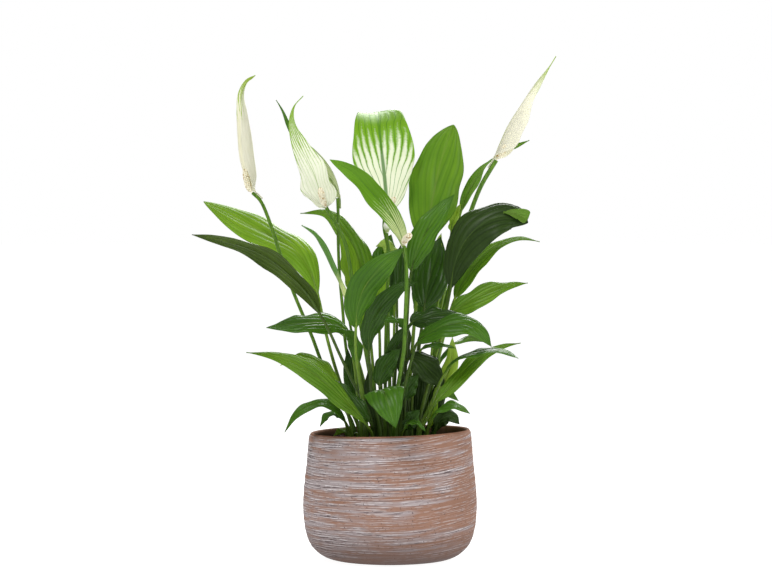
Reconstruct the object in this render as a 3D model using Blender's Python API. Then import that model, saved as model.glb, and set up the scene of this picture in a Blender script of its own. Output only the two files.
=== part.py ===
"""Peace lily in a hand-thrown round pot: pot, soil, leaves and flower heads as separate solids.

Plant sizes are in millimetres and become metres where a mesh is made. The plant is drawn in its
front view: x to the right, z up from the ground, and y how far behind the pot's axis a point lies.
"""

import math

import bmesh
import bpy
from mathutils import Vector

MM = 0.001

# Front view in which the plant is drawn, and how much its depth grows with height above the soil.
SPLAY = 0.0045
VIEW_DISTANCE = 2400.0
VIEW_LEVEL = 231.0
VIEW_SLOPE = 0.026
VIEW_SINK = 4.6

# Pot, as radius and height of its outer and inner profile.
POT_SIDES = 36
POT_HEIGHT = 110.0
POT_OUTSIDE = ((38, 0), (53, 2.6), (62.4, 8), (68.8, 16.5), (72.4, 29), (73.8, 45), (73.1, 62),
               (71, 82), (69.4, 101), (68.6, 107.5), (67, POT_HEIGHT))
POT_INSIDE = ((65.2, 109.2), (64.6, 104), (66.6, 80), (68.4, 45), (62, 18), (46, 7))
POT_FLOOR = 6.0
RIM_SLANT = 0.026

# Soil, which lies a gap inside the pot's wall, with a low dome on top. Stems stand in its holes.
GAP = 0.3
SOIL_TOP = ((64.1, 101.5), (45, 103.3), (0, 104.5))
HOLE_FLOOR = 92.0
HOLE_REACH = 112.0
STEM_FLOOR = HOLE_FLOOR + GAP
STEM_STRAIGHT = 107.0
HOLE_CLEARANCE = 0.4
HOLE_SIDES = 6

# Leaves and stems. Round stems and stalks are set out from one direction, out of the front.
PATH_STEPS = 12
ROUND_FACES = Vector((0.1, -1, 0.2)).normalized()
STEM_RADIUS = 1.2
STEM_GROWTH = 0.025
STEM_TAPER = 0.25
STALK_RADIUS = 1.1
STALK_SIDES = 6
BUD_SIDES = 8
BLADE_OPENS = 0.1
KEEL = 0.6
TIP_HALF = 0.5
FOLD = 0.1
CURL = -0.5
LEAF_SKIN = 0.8
LEAF_WAVE = 1.2
LEAF_WAVES = 2.5
SPATHE_SKIN = 0.8
SPATHE_WAVE = 0.8
SPATHE_WAVES = 2.0
WIDE_COLUMNS = (-1.0, -0.5, 0.0, 0.5, 1.0)
NARROW_COLUMNS = (-1.0, 0.0, 1.0)
WIDE_LEAF = 14.5
STEM_STATIONS = 4
WIDE_STATIONS = 12
NARROW_STATIONS = 9

FRESH_GREEN = (0.25, 0.45, 0.04)
LEAF_GREEN = (0.09, 0.20, 0.03)
DEEP_GREEN = (0.03, 0.08, 0.02)
OLIVE_GREEN = (0.14, 0.20, 0.03)
STALK_GREEN = (0.18, 0.32, 0.07)
SPATHE_IVORY = (0.86, 0.86, 0.76)
SPATHE_GREEN = (0.55, 0.66, 0.28)
SPADIX_CREAM = (0.78, 0.66, 0.48)
POT_CLAY = (0.42, 0.30, 0.22)
SOIL_BROWN = (0.05, 0.035, 0.025)

# Each leaf: foot in the soil, points up its stem, points along its midrib from base to tip, half
# of its width, the way its upper face looks, and its colour.
LEAVES = {
    "leaf_left_1": dict(
        foot=(-26, 10), stem=((-37, 12, 140), (-47, 16, 170), (-55, 20, 200)),
        rib=((-61, 24, 229), (-68, 28, 250), (-79, 33, 266.5), (-100, 40, 279),
             (-122, 46, 290.5), (-142, 50, 301.5), (-158, 52, 309)),
        half=19, faces=(0, -1, 1.6), swell=1.0, taper=0.85, colour=FRESH_GREEN),
    "leaf_left_2": dict(
        foot=(-13, -22), stem=((-20, -24, 135), (-32, -28, 157), (-43, -30, 180), (-52, -32, 200)),
        rib=((-59, -33, 213), (-69, -34, 230), (-84, -35, 246), (-102, -36, 260.5),
             (-120, -36, 269.5), (-142, -36, 276), (-168, -34, 281)),
        half=14.5, faces=(0, 1, 2), swell=0.9, colour=OLIVE_GREEN),
    "leaf_left_3": dict(
        foot=(-12, 10), stem=((-13, 14, 150), (-17, 20, 200)),
        rib=((-18, 24, 230), (-23, 27, 249), (-29, 30, 268), (-39, 33, 285), (-54, 36, 299),
             (-76, 38, 299)),
        half=12.5, faces=(0.3, -1, 0.6), swell=0.45, taper=1.2, colour=LEAF_GREEN),
    "leaf_left_4": dict(
        foot=(-24, -12), stem=((-27, -12, 140), (-31, -12, 175)),
        rib=((-36, -12, 197), (-44, -12, 204), (-56, -13, 206.5), (-70, -14, 206.5),
             (-84, -15, 205), (-105, -16, 202)),
        half=15, faces=(0, -1, 1.6), colour=LEAF_GREEN),
    "leaf_left_5": dict(
        foot=(-21, -18), stem=((-22, -18, 140),),
        rib=((-27, -20, 172), (-29, -21, 184), (-33, -23, 195), (-42, -26, 201)),
        half=6, faces=(0.2, -1, 0.5), colour=LEAF_GREEN),
    "leaf_left_6": dict(
        foot=(-15, -42), stem=(),
        rib=((-19, -50, 118), (-29, -56, 130), (-40, -61, 141), (-52, -66, 152.5), (-66, -70, 163.5),
             (-82, -74, 172.5), (-98, -77, 178), (-122, -80, 181)),
        half=11.5, faces=(0.2, -1, 0.9), swell=1.2, taper=1.4, colour=LEAF_GREEN),
    "leaf_left_7": dict(
        foot=(-14, -33), stem=(),
        rib=((-17, -37, 122), (-26, -40, 134), (-37, -42, 146), (-51, -43, 160)),
        half=8, faces=(0.4, -1, 0.8), colour=DEEP_GREEN),
    "leaf_left_8": dict(
        foot=(-32, -10), stem=((-38, -10, 135),),
        rib=((-44, -10, 152), (-54, -9, 166), (-68, -8, 176), (-80, -7, 176), (-93, -6, 170)),
        half=9, faces=(0, -0.5, 1), colour=FRESH_GREEN),
    "leaf_left_9": dict(
        foot=(-33, -24), stem=(),
        rib=((-38, -28, 122), (-46, -32, 133.5), (-57, -36, 138.5), (-70, -39, 135), (-81, -41, 127),
             (-89.5, -42, 113)),
        half=6, faces=(0, -0.7, 1), colour=LEAF_GREEN),
    "leaf_left_10": dict(
        foot=(-36, -18), stem=(),
        rib=((-38, -18, 122), (-44, -18, 129), (-53, -18, 128), (-59.5, -18, 118)),
        half=5, faces=(0, -0.5, 1), colour=LEAF_GREEN),
    "leaf_front_1": dict(
        foot=(-4, -42), stem=((-5, -48, 128),),
        rib=((-6, -55, 142), (-7, -64, 149), (-5, -76, 147), (-1, -88, 136), (5, -98, 117)),
        half=16, faces=(-0.3, 0, 1), colour=DEEP_GREEN),
    "leaf_front_2": dict(
        foot=(-19, -30), stem=((-25, -34, 150), (-29, -38, 180)),
        rib=((-29, -41, 202), (-28, -44, 218), (-23, -47, 234), (-12, -50, 249), (12, -52, 270)),
        half=14, faces=(0.5, -1, 0.2), colour=LEAF_GREEN),
    "leaf_front_3": dict(
        foot=(-8, -25), stem=((-16, -27, 148), (-17, -30, 168)),
        rib=((-18, -32, 182), (-18, -33, 198), (-12, -35, 213), (-3, -36, 226), (9, -37, 236),
             (23, -38, 241)),
        half=9, faces=(0.3, -1, 0.4), colour=DEEP_GREEN),
    "leaf_front_4": dict(
        foot=(-7, -6), stem=((-14, -10, 150), (-20, -12, 185)),
        rib=((-20, -13, 200), (-17, -14, 216), (-10, -15, 233), (-3, -16, 246)),
        half=8, faces=(0, -1, 0.3), colour=FRESH_GREEN),
    "leaf_front_5": dict(
        foot=(9, -42), stem=(),
        rib=((13, -46, 116), (18, -50, 124), (25, -54, 132)),
        half=7, faces=(0, -1, 0.6), colour=DEEP_GREEN),
    "leaf_front_6": dict(
        foot=(8, -12), stem=((9, -17, 150), (12, -18, 185)),
        rib=((14, -18, 199), (9, -18, 207), (2, -19, 209), (-9, -20, 208)),
        half=5, faces=(0, -0.6, 1), colour=LEAF_GREEN),
    "leaf_front_7": dict(
        foot=(-3, -14), stem=((-4, -20, 140),),
        rib=((-3, -23, 160), (1, -25, 182), (8, -27, 196), (20, -28, 206)),
        half=5, faces=(0.6, -1, 0.3), colour=DEEP_GREEN),
    "leaf_front_8": dict(
        foot=(1, -21), stem=((-4, -26, 135),),
        rib=((-9, -30, 153), (-6, -31, 165), (0, -32, 175), (9, -33, 184)),
        half=9, faces=(0, -1, 0.5), colour=DEEP_GREEN),
    "leaf_centre_1": dict(
        foot=(12, 12), stem=((17, 15, 160), (22, 17, 220), (27, 18, 255)),
        rib=((29, 18, 275), (33, 18, 296), (37.5, 18, 318), (43, 18, 343), (54, 17, 374)),
        half=23, faces=(0, -1, 0.15), colour=FRESH_GREEN),
    "leaf_centre_2": dict(
        foot=(10, -4), stem=((13, -7, 160), (15, -9, 215)),
        rib=((18, -10, 250), (23, -10, 268), (31, -10, 284), (41, -10, 299), (54.5, -9, 315)),
        half=11, faces=(0.2, -1, 0.3), colour=DEEP_GREEN),
    "leaf_centre_3": dict(
        foot=(15, 1), stem=((20, 2, 150), (26, 3, 195)),
        rib=((29, 5, 219), (32, 6, 236), (36, 7, 254), (43, 8, 279)),
        half=16, faces=(0, -1, 0.2), colour=DEEP_GREEN),
    "leaf_right_1": dict(
        foot=(22, -6), stem=((33, -6, 150), (43, -7, 192)),
        rib=((51, -10, 234), (56, -12, 259), (68, -13, 281), (88, -14, 294.5), (104, -14, 296.5),
             (117, -15, 291)),
        half=22, faces=(-0.4, -1, 0.9), swell=0.8, taper=0.8, colour=DEEP_GREEN),
    "leaf_right_2": dict(
        foot=(28, 8), stem=((38, 12, 160), (47, 14, 200)),
        rib=((55, 15, 227), (66, 15, 247), (80, 15, 264), (95, 14, 274), (110, 13, 278),
             (127, 12, 275)),
        half=11.5, faces=(-0.3, -0.5, 1), taper=1.4, colour=LEAF_GREEN),
    "leaf_right_3": dict(
        foot=(24, -14), stem=((34, -11, 160), (44, -13, 195)),
        rib=((53, -15, 215), (64, -16, 222.5), (79, -17, 230.5), (96, -18, 237), (117, -19, 240)),
        half=13, faces=(-0.2, -0.9, 1), swell=0.55, taper=1.3, colour=LEAF_GREEN),
    "leaf_right_4": dict(
        foot=(9, -19), stem=((10, -22, 150), (13, -24, 190)),
        rib=((18, -22, 206), (29, -22, 210), (46, -23, 213), (62, -24, 212)),
        half=11, faces=(0, -0.9, 1), swell=0.5, colour=DEEP_GREEN),
    "leaf_right_5": dict(
        foot=(5, -28), stem=((12, -33, 150), (19, -35, 177)),
        rib=((23, -38, 189), (36, -42, 199), (50, -45, 204.5), (65, -47, 205), (77, -48, 198),
             (86, -49, 186)),
        half=14.5, faces=(-0.1, -1, 1.3), colour=DEEP_GREEN),
    "leaf_right_6": dict(
        foot=(31, -6), stem=((36, -5, 125),),
        rib=((41, -4, 142), (46, -3, 155), (52, -2, 172), (53, -1, 194)),
        half=7, faces=(-0.3, -1, 0.2), colour=FRESH_GREEN),
    "leaf_right_7": dict(
        foot=(25, -24), stem=((36, -27, 140),),
        rib=((47, -30, 164), (55, -33, 174), (68, -37, 179.5), (84, -41, 183), (97, -44, 182),
             (109, -46, 176)),
        half=13, faces=(0, -0.2, 1), colour=LEAF_GREEN),
    "leaf_right_8": dict(
        foot=(23, -36), stem=((32, -37, 125),),
        rib=((39, -36, 139), (51, -33, 151.5), (64, -26, 166), (79, -17, 179), (95, -11, 186),
             (111, -6, 189)),
        half=8, faces=(-0.5, -1, 0.6), taper=1.3, colour=FRESH_GREEN),
    "leaf_right_10": dict(
        foot=(14, -27), stem=(),
        rib=((13, -28, 140), (17, -29, 153), (24, -29, 162)),
        half=7, faces=(0.2, -1, 0.3), colour=DEEP_GREEN),
    "leaf_right_11": dict(
        foot=(31, -34), stem=(),
        rib=((36, -40, 125), (45, -46, 134.5), (56, -50, 136), (68, -52, 129)),
        half=8, faces=(0, -0.5, 1), colour=LEAF_GREEN),
    "leaf_right_12": dict(
        foot=(37, -26), stem=(),
        rib=((39.5, -27, 117), (44, -29, 124.5), (51, -31, 127), (59, -33, 120)),
        half=7, faces=(0, -1, 0.6), colour=DEEP_GREEN),
    "leaf_right_13": dict(
        foot=(21, 19), stem=((34, 24, 170), (47, 30, 235), (56, 34, 280)),
        rib=((60, 36, 300), (65, 37, 315), (72, 38, 328), (81, 39, 340), (95, 40, 350.5),
             (118, 41, 361)),
        half=5.5, faces=(-0.5, -1, 0.4), colour=LEAF_GREEN),
}

# Shoots on the far side: leaves whose stems grow out of one another at the soil.
SHOOTS = {
    "leaf_centre_4": (
        dict(foot=(0, 18), stem=((-1, 24, 180), (-2, 28, 225)),
             rib=((-4, 29, 244), (-4, 31, 258), (-3, 33, 270), (1, 35, 281)),
             half=11, faces=(0, -1, 0.5), colour=LEAF_GREEN),
        dict(foot=(1.6, 18), stem=((5, 16, 170), (6, 12, 212)),
             rib=((6, 12, 228), (7, 12, 242), (8, 12, 256), (9, 12, 272)),
             half=8, faces=(0, -1, 0.3), colour=DEEP_GREEN)),
    "leaf_right_9": (
        dict(foot=(17, -15), stem=((15, -13, 150),),
             rib=((16, -16, 176), (24, -18, 174), (35, -21.5, 164), (46, -24, 152)),
             half=13, faces=(0, -1, 0.8), colour=DEEP_GREEN),
        dict(foot=(18.4, -14.6), stem=((19.5, -11.5, 150), (23, -10, 172)),
             rib=((27, -16, 184), (36, -19, 187), (46, -20, 187), (56, -20, 184.5)),
             half=3.5, faces=(0, -0.8, 1), colour=LEAF_GREEN)),
    "shoot_back_1": (
        dict(foot=(12, 28), stem=((20, 24, 160),),
             rib=((28, 26, 208), (33, 38, 228), (37, 54, 236), (40, 68, 230), (42, 78, 212)),
             half=17, faces=(0, 0.6, 1), colour=LEAF_GREEN),
        dict(foot=(13.6, 28.5), stem=((34, 32, 150),),
             rib=((42, 36, 172), (53, 44, 187), (66, 52, 193), (82, 58, 190)),
             half=9, faces=(-0.4, 0.3, 1), colour=LEAF_GREEN)),
    "shoot_back_2": (
        dict(foot=(-6, 26), stem=((-8, 30, 160),),
             rib=((-9, 34, 200), (-10, 44, 226), (-12, 56, 238), (-14, 68, 234), (-15, 78, 218)),
             half=17, faces=(0, 0.6, 1), colour=LEAF_GREEN),
        dict(foot=(-7.6, 26.5), stem=((-20, 32, 150),),
             rib=((-30, 38, 182), (-42, 46, 200), (-55, 54, 206), (-72, 60, 200)),
             half=12, faces=(0.4, 0.3, 1), colour=LEAF_GREEN)),
    "shoot_back_3": (
        dict(foot=(3, 37), stem=(),
             rib=((4, 44, 122), (5, 58, 137), (6, 76, 143), (6, 94, 136), (6, 108, 120)),
             half=15, faces=(0, 0.6, 1), colour=LEAF_GREEN),
        dict(foot=(1.4, 36.6), stem=(),
             rib=((-8, 44, 126), (-22, 56, 143), (-36, 70, 148), (-50, 82, 138)),
             half=13, faces=(0.3, 0.4, 1), colour=LEAF_GREEN),
        dict(foot=(4.6, 36.6), stem=(),
             rib=((16, 44, 126), (30, 56, 144), (44, 70, 150), (58, 80, 140)),
             half=13, faces=(-0.3, 0.4, 1), colour=LEAF_GREEN)),
}

# Each flower head: foot of its stalk in the soil, points up the stalk and the stalk's radius, then
# points up the back of the spathe above the stalk, half of its width, the way its hollow side looks,
# how far it folds and curls shut, and the tip of the spadix, which stands on the stalk.
BLOOMS = {
    "bloom_1": dict(
        foot=(-30, 2), radius=1.5,
        stalk=((-42, 6, 140), (-57, 10, 170), (-66, 12, 194), (-74.4, 12, 214), (-83, 12, 235),
               (-92, 12, 261), (-103.6, 12.4, 296), (-110, 12.6, 310), (-116.5, 13, 316.5)),
        spathe=((-113.5, 13.8, 331), (-115.5, 13.1, 347),
                (-118, 11.7, 366), (-121.5, 10.3, 386), (-124, 9.4, 399), (-121, 8.8, 410),
                (-114, 8.5, 416)),
        half=13, faces=(-1, -0.35, 0), fold=0.5, curl=1.2, swell=0.45, taper=0.85,
        spadix=(-123, 12, 336), colour=SPATHE_IVORY),
    "bloom_2": dict(
        foot=(-9, -14), radius=1.5,
        stalk=((-14, -17, 150), (-22, -20, 195), (-32, -22, 242), (-36.7, -22, 269),
               (-40.5, -22, 280), (-46, -22, 290.6), (-51, -22, 299), (-54, -22, 304)),
        spathe=((-59, -17, 316), (-63.5, -15, 330),
                (-70, -14, 344), (-78, -14, 360), (-83, -14, 374), (-81.5, -14, 389),
                (-73.5, -14, 398.5)),
        half=13.5, faces=(0.1, -1, 0.15), fold=0.2, curl=0.35, swell=0.45, taper=1.5,
        spadix=(-59, -26, 320), colour=SPATHE_IVORY),
    "bloom_3": dict(
        foot=(-20, 0), radius=1.3,
        stalk=((-28, 3, 140), (-33, 4, 160), (-38, 5, 190), (-40, 6, 215), (-43, 6, 250),
               (-44, 5, 280), (-44, 4, 300), (-44.5, 3.5, 312)),
        spathe=((-44, 6.5, 322), (-48, 6, 333), (-55, 6, 344), (-65, 6, 354),
                (-75, 5, 362), (-84, 4, 374), (-90, 3, 385), (-96.5, 2, 395)),
        half=9, faces=(-0.8, -0.6, -0.6), fold=0.9, curl=0.5, swell=0.5, taper=1.1,
        spadix=None, colour=SPATHE_GREEN),
    "bloom_4": dict(
        foot=(22, 5), radius=1.9,
        stalk=((33, 9, 160), (44, 12, 210), (54, 13, 250), (62, 13.2, 280), (69, 12.8, 302),
               (77.3, 12.2, 322.6), (85, 12.4, 336), (90, 12.3, 344)),
        spathe=((93, 13.4, 358), (100, 12.6, 373), (108, 11.6, 386),
                (116, 10.7, 398), (126, 9.8, 410), (135, 9.1, 423), (140.5, 8.8, 432)),
        half=13, faces=(0.8, -0.6, -0.45), fold=0.5, curl=1.1, swell=0.6, taper=2.0,
        spadix=(101.9, 11.0, 364), colour=SPATHE_IVORY),
    "bloom_5": dict(
        foot=(-4, 6), radius=1.5,
        stalk=((-4, 7, 160), (-3, 8, 215), (-1.5, 9, 269), (-5, 10, 288), (-4, 9, 299)),
        spathe=((-3, 13, 309), (-4.5, 14, 328), (-7, 15, 350), (-9, 18, 370),
                (-10, 27, 381.5), (-11, 42, 385)),
        half=27, faces=(0, -1, 0.5), fold=0.1, curl=0.35, swell=0.7, taper=0.95,
        spadix=(4, 4, 312), colour=SPATHE_GREEN),
    "bloom_6": dict(
        foot=(3, -36), radius=1.6,
        stalk=((5, -46, 140), (8, -49, 160), (11.6, -50, 182), (13, -50, 210), (14, -48, 251),
               (13, -44, 264), (12, -41, 271)),
        spathe=((9.5, -36, 280), (4.5, -34, 291), (-6, -32, 306), (-18.5, -30, 320),
                (-32, -29, 334), (-51, -28, 344.5)),
        half=10, faces=(0.3, -1, -0.2), fold=0.35, curl=0.5, swell=0.75, taper=0.85,
        spadix=(17, -46, 281), colour=SPATHE_GREEN),
}
SPADIX_RADIUS = 2.2
SPADIX_END = 0.5
FLORET_STEP = 1.7
FLORET_KNOB = 0.14
STRIP_BACKS = (9.0, 5.0, 1.0)
STRIP_STATIONS = 3
STRIP_SEAT = 1.25
STRIP_HALF = 0.9
STIPE = 2.5
STIPE_RADIUS = 0.8

# A flower head still rolled up, and a small bud: points from the soil up and radii along them.
ROLLED_FOOT = (-14, -9)
ROLLED_STALK = ((-22, -9, 150), (-31, -9, 190), (-35, -9, 212), (-36.5, -9, 224))
ROLLED_HEAD = ((-38, -9, 231), (-42, -9, 241), (-48, -9, 254), (-56, -9, 271), (-64, -9, 282),
               (-75, -9, 289))
ROLLED_RADII = (1.1, 2.4, 1.8, 2.4, 2.6, 1.7, 0.5)
BUD_FOOT = (1, -6)
BUD_STALK = ((0, -6, 160), (-2, -6, 215), (-2, -6, 269), (-2.5, -6, 282.5))
BUD = ((-2.6, -6, 282.9), (-2.2, -6, 288), (-1, -6, 293), (0.5, -6, 298))
BUD_RADII = (1.2, 3.4, 3.0, 0.5)


def front_view(x, y, z):
    """Place of a point drawn at x, z in the front view, from its depth y where it leaves the soil."""
    depth = y * (1 + SPLAY * max(z - STEM_STRAIGHT, 0.0))
    spread = 1 + depth / VIEW_DISTANCE
    level = VIEW_LEVEL + (z - VIEW_LEVEL) * spread - depth * VIEW_SLOPE - VIEW_SINK
    return Vector((x * spread, depth, level))


def paint(thing, colour, roughness):
    """One plain Principled finish of its own for an object."""
    finish = bpy.data.materials.new(thing.name + "_finish")
    finish.use_nodes = True
    shader = finish.node_tree.nodes["Principled BSDF"]
    shader.inputs["Base Color"].default_value = (*colour, 1.0)
    shader.inputs["Roughness"].default_value = roughness
    thing.data.materials.append(finish)


def finish_object(name, shape, colour, roughness, sharp=40.0):
    """Object made of a bmesh in millimetres, with its faces pointing out and round parts smooth."""
    bmesh.ops.recalc_face_normals(shape, faces=shape.faces)
    bmesh.ops.scale(shape, vec=(MM, MM, MM), verts=shape.verts)
    mesh = bpy.data.meshes.new(name)
    shape.to_mesh(mesh)
    shape.free()
    for face in mesh.polygons:
        face.use_smooth = True
    mesh.set_sharp_from_angle(angle=math.radians(sharp))
    thing = bpy.data.objects.new(name, mesh)
    bpy.context.scene.collection.objects.link(thing)
    paint(thing, colour, roughness)
    return thing


def spin_profile(profile, sides):
    """Closed turned shape whose profile runs from the axis round to the axis again."""
    shape = bmesh.new()
    rings = []
    for radius, height in profile:
        if radius == 0:
            rings.append([shape.verts.new((0, 0, height))])
            continue
        turns = [2 * math.pi * i / sides for i in range(sides)]
        rings.append([shape.verts.new((radius * math.cos(a), radius * math.sin(a), height))
                      for a in turns])
    for low, high in zip(rings, rings[1:]):
        for i in range(sides):
            j = (i + 1) % sides
            corners = [low[i % len(low)], low[j % len(low)], high[j % len(high)], high[i % len(high)]]
            shape.faces.new(list(dict.fromkeys(corners)))
    return shape


def make_pot():
    """Thrown pot with a flat foot, a round belly and a thin rim that slants up to the right."""
    profile = ((0, 0),) + POT_OUTSIDE + POT_INSIDE + ((0, POT_FLOOR),)
    shape = spin_profile(profile, POT_SIDES)
    for corner in shape.verts:
        lift = (max(corner.co.z, 0) / POT_HEIGHT) ** 3
        corner.co.z += corner.co.x * RIM_SLANT * lift
    finish_object("pot", shape, POT_CLAY, 0.85)


def make_soil(stems):
    """Soil that fills the pot to just under its rim, with a plain hole for every stem."""
    wall = [(radius - GAP, height + GAP) for radius, height in reversed(POT_INSIDE[2:])]
    profile = ((0, POT_FLOOR + GAP),) + tuple(wall) + SOIL_TOP
    soil = finish_object("soil", spin_profile(profile, POT_SIDES), SOIL_BROWN, 1.0)

    drills = bmesh.new()
    depth = HOLE_REACH - HOLE_FLOOR
    for x, y, radius in stems:
        reach = (radius + HOLE_CLEARANCE) / math.cos(math.pi / HOLE_SIDES)
        drill = bmesh.ops.create_cone(drills, cap_ends=True, segments=HOLE_SIDES, radius1=reach,
                                      radius2=reach, depth=depth)
        bmesh.ops.translate(drills, vec=(x, y, HOLE_FLOOR + depth / 2), verts=drill["verts"])
    cutter = finish_object("stem_holes", drills, SOIL_BROWN, 1.0)
    cutter.hide_render = True
    cutter.display_type = "WIRE"
    cut = soil.modifiers.new("stem_holes", "BOOLEAN")
    cut.operation = "DIFFERENCE"
    cut.solver = "EXACT"
    cut.object = cutter


def smooth_path(points, upright=0):
    """Fine points on a smooth curve through the given ones, straight up at the first few."""
    spans = [b - a for a, b in zip(points, points[1:])]
    ways = [span.normalized() for span in spans]
    leads = [ways[0]] + [(a + b).normalized() for a, b in zip(ways, ways[1:])] + [ways[-1]]
    for i in range(upright):
        leads[i] = Vector((0, 0, 1))
    path = [points[0]]
    for start, end, lead, trail, span in zip(points, points[1:], leads, leads[1:], spans):
        for k in range(1, PATH_STEPS + 1):
            t = k / PATH_STEPS
            pull = (t ** 3 - 2 * t ** 2 + t) * lead + (t ** 3 - t ** 2) * trail
            share = 3 * t ** 2 - 2 * t ** 3
            path.append(start.lerp(end, share) + pull * span.length)
    return path


def distances(path):
    """Length along the path up to each of its points."""
    run = [0.0]
    for a, b in zip(path, path[1:]):
        run.append(run[-1] + (b - a).length)
    return run


def frame_at(path, run, along, faces):
    """Place on the path, its direction there, and the directions across the blade and out of it."""
    k = 0
    while k < len(run) - 2 and run[k + 1] < along:
        k += 1
    share = (along - run[k]) / (run[k + 1] - run[k])
    place = path[k].lerp(path[k + 1], share)
    before = path[max(k - 1, 0)]
    after = path[min(k + 2, len(path) - 1)]
    way = (after - before).normalized()
    across = faces.cross(way).normalized()
    return place, way, across, way.cross(across)


def blade_width(u, swell, taper):
    """Width of a blade at share u of its length, against its greatest width."""
    widest = swell / (swell + taper)
    return (u / widest) ** swell * ((1 - u) / (1 - widest)) ** taper if 0 < u < 1 else 0.0


def cross_section(half, skin, keel, fold, curl, columns, lift):
    """Upper and lower points across a blade: folded up at the midrib and curled towards its edges."""
    upper = []
    lower = []
    for v in columns:
        t = abs(v)
        side = math.copysign(1, v)
        turn = fold + curl * t
        out = half / curl * (math.sin(turn) - math.sin(fold))
        up = half / curl * (math.cos(fold) - math.cos(turn))
        lean = (-side * math.sin(turn), math.cos(turn)) if t else (0.0, 1 / math.cos(fold))
        sway = side * lift * t ** 2
        across = side * out + lean[0] * sway
        above = up + lean[1] * sway
        deep = skin / 2 if t else skin / 2 + keel
        upper.append((across + lean[0] * skin / 2, above + lean[1] * skin / 2))
        lower.append((across - lean[0] * skin / 2, above - lean[1] * deep))
    return upper, lower


def round_section(radius, count):
    """Upper and lower points of a round stem, as many as a blade's."""
    turns = [math.pi * (1 - (i + 0.5) / count) for i in range(count)]
    upper = [(radius * math.cos(a), radius * math.sin(a)) for a in turns]
    return upper, [(x, -y) for x, y in upper]


def blade_rings(points, base, half, faces, columns, stations, stem_radius, skin, wave, waves,
                fold=FOLD, curl=CURL, swell=0.7, taper=1.0, strip=0.0, upright=0):
    """Rings of points round a stem that opens into a blade from its point number base on."""
    path = smooth_path(points, upright)
    run = distances(path)
    start = run[base * PATH_STEPS]
    length = run[-1] - start
    opening = start + strip
    stops = []
    if base:
        first = run[PATH_STEPS]
        stops = [0.0] + [first + (start - first) * k / STEM_STATIONS for k in range(STEM_STATIONS)]
    if strip:
        stops += [strip * k / STRIP_STATIONS for k in range(STRIP_STATIONS)]
    stops += [opening + (run[-1] - opening) * k / stations for k in range(stations + 1)]
    rings = []
    for along in stops:
        u = max((along - start) / length, 0.0)
        grown = max((along - opening) / (run[-1] - opening), 0.0)
        place, way, across, above = frame_at(path, run, along, faces)
        radius = stem_radius * (1 - STEM_TAPER * min(along / start, 1.0)) if base else stem_radius
        least = radius if u < 0.5 else TIP_HALF
        width = max(half * blade_width(grown, swell, taper), least)
        shut = min(width / half, 1.0) if strip else 1.0
        lift = wave * math.sin(2 * math.pi * waves * u) * min(width / half, 1.0)
        keel = KEEL * radius * (1 - u)
        blade = cross_section(width, skin, keel, fold * shut, curl * shut, columns, lift)
        stem = round_section(radius, len(columns))
        open_share = min(u / BLADE_OPENS, 1.0) if base else 1.0
        ring = []
        for flat, tube, order in zip(blade, stem, (1, -1)):
            mixed = [Vector(s).lerp(Vector(f), open_share) for f, s in zip(flat, tube)]
            ring += [place + across * point.x + above * point.y for point in mixed][::order]
        rings.append(ring)
    return rings


def skin_rings(rings):
    """Closed skin over rings, with both faces of a blade split into triangles alike."""
    shape = bmesh.new()
    loops = [[shape.verts.new(point) for point in ring] for ring in rings]
    count = len(loops[0])
    half = count // 2
    for low, high in zip(loops, loops[1:]):
        for i in range(count):
            j = (i + 1) % count
            if i < half:
                shape.faces.new((low[i], low[j], high[j]))
                shape.faces.new((low[i], high[j], high[i]))
            else:
                shape.faces.new((low[i], low[j], high[i]))
                shape.faces.new((low[j], high[j], high[i]))
    for loop in (loops[0], loops[-1]):
        for i in range(half - 1):
            shape.faces.new((loop[i], loop[i + 1], loop[count - 2 - i], loop[count - 1 - i]))
    return shape


def planted(foot, stem):
    """Points of a stem that stands upright in its hole in the soil."""
    x, y = foot
    return [Vector((x, y, STEM_FLOOR)), Vector((x, y, STEM_STRAIGHT))] + [front_view(*p) for p in stem]


def make_leaf(name, foot, stem, rib, half, faces, colour, **looks):
    """Leaf with its stem, as one closed solid; returns the stem's place and radius in the soil."""
    wide = half >= WIDE_LEAF
    columns = WIDE_COLUMNS if wide else NARROW_COLUMNS
    stations = WIDE_STATIONS if wide else NARROW_STATIONS
    radius = STEM_RADIUS + STEM_GROWTH * half
    points = planted(foot, stem) + [front_view(*p) for p in rib]
    rings = blade_rings(points, len(stem) + 2, half, Vector(faces).normalized(), columns, stations,
                        radius, LEAF_SKIN, LEAF_WAVE, LEAF_WAVES, upright=2, **looks)
    finish_object(name, skin_rings(rings), colour, 0.45)
    return (*foot, radius)


def make_shoot(name, leaves):
    """Leaves whose stems join at the soil, united in one solid; returns the place and radius of all."""
    stems = [make_leaf(f"{name}_{n}", **leaf) for n, leaf in enumerate(leaves)]
    parts = [bpy.data.objects[f"{name}_{n}"] for n in range(len(leaves))]
    others = bpy.data.collections.new(name + "_others")
    for part in parts[1:]:
        others.objects.link(part)
    union = parts[0].modifiers.new("union", "BOOLEAN")
    union.operation = "UNION"
    union.solver = "MANIFOLD"
    union.operand_type = "COLLECTION"
    union.collection = others
    graph = bpy.context.evaluated_depsgraph_get()
    joined = bpy.data.meshes.new_from_object(parts[0].evaluated_get(graph))
    parts[0].modifiers.clear()
    parts[0].data = joined
    parts[0].name = name
    for part in parts[1:]:
        bpy.data.objects.remove(part, do_unlink=True)
    bpy.data.collections.remove(others)
    middle = [sum(stem[axis] for stem in stems) / len(stems) for axis in (0, 1)]
    return (*middle, max(math.dist(middle, stem[:2]) + stem[2] for stem in stems))


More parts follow.
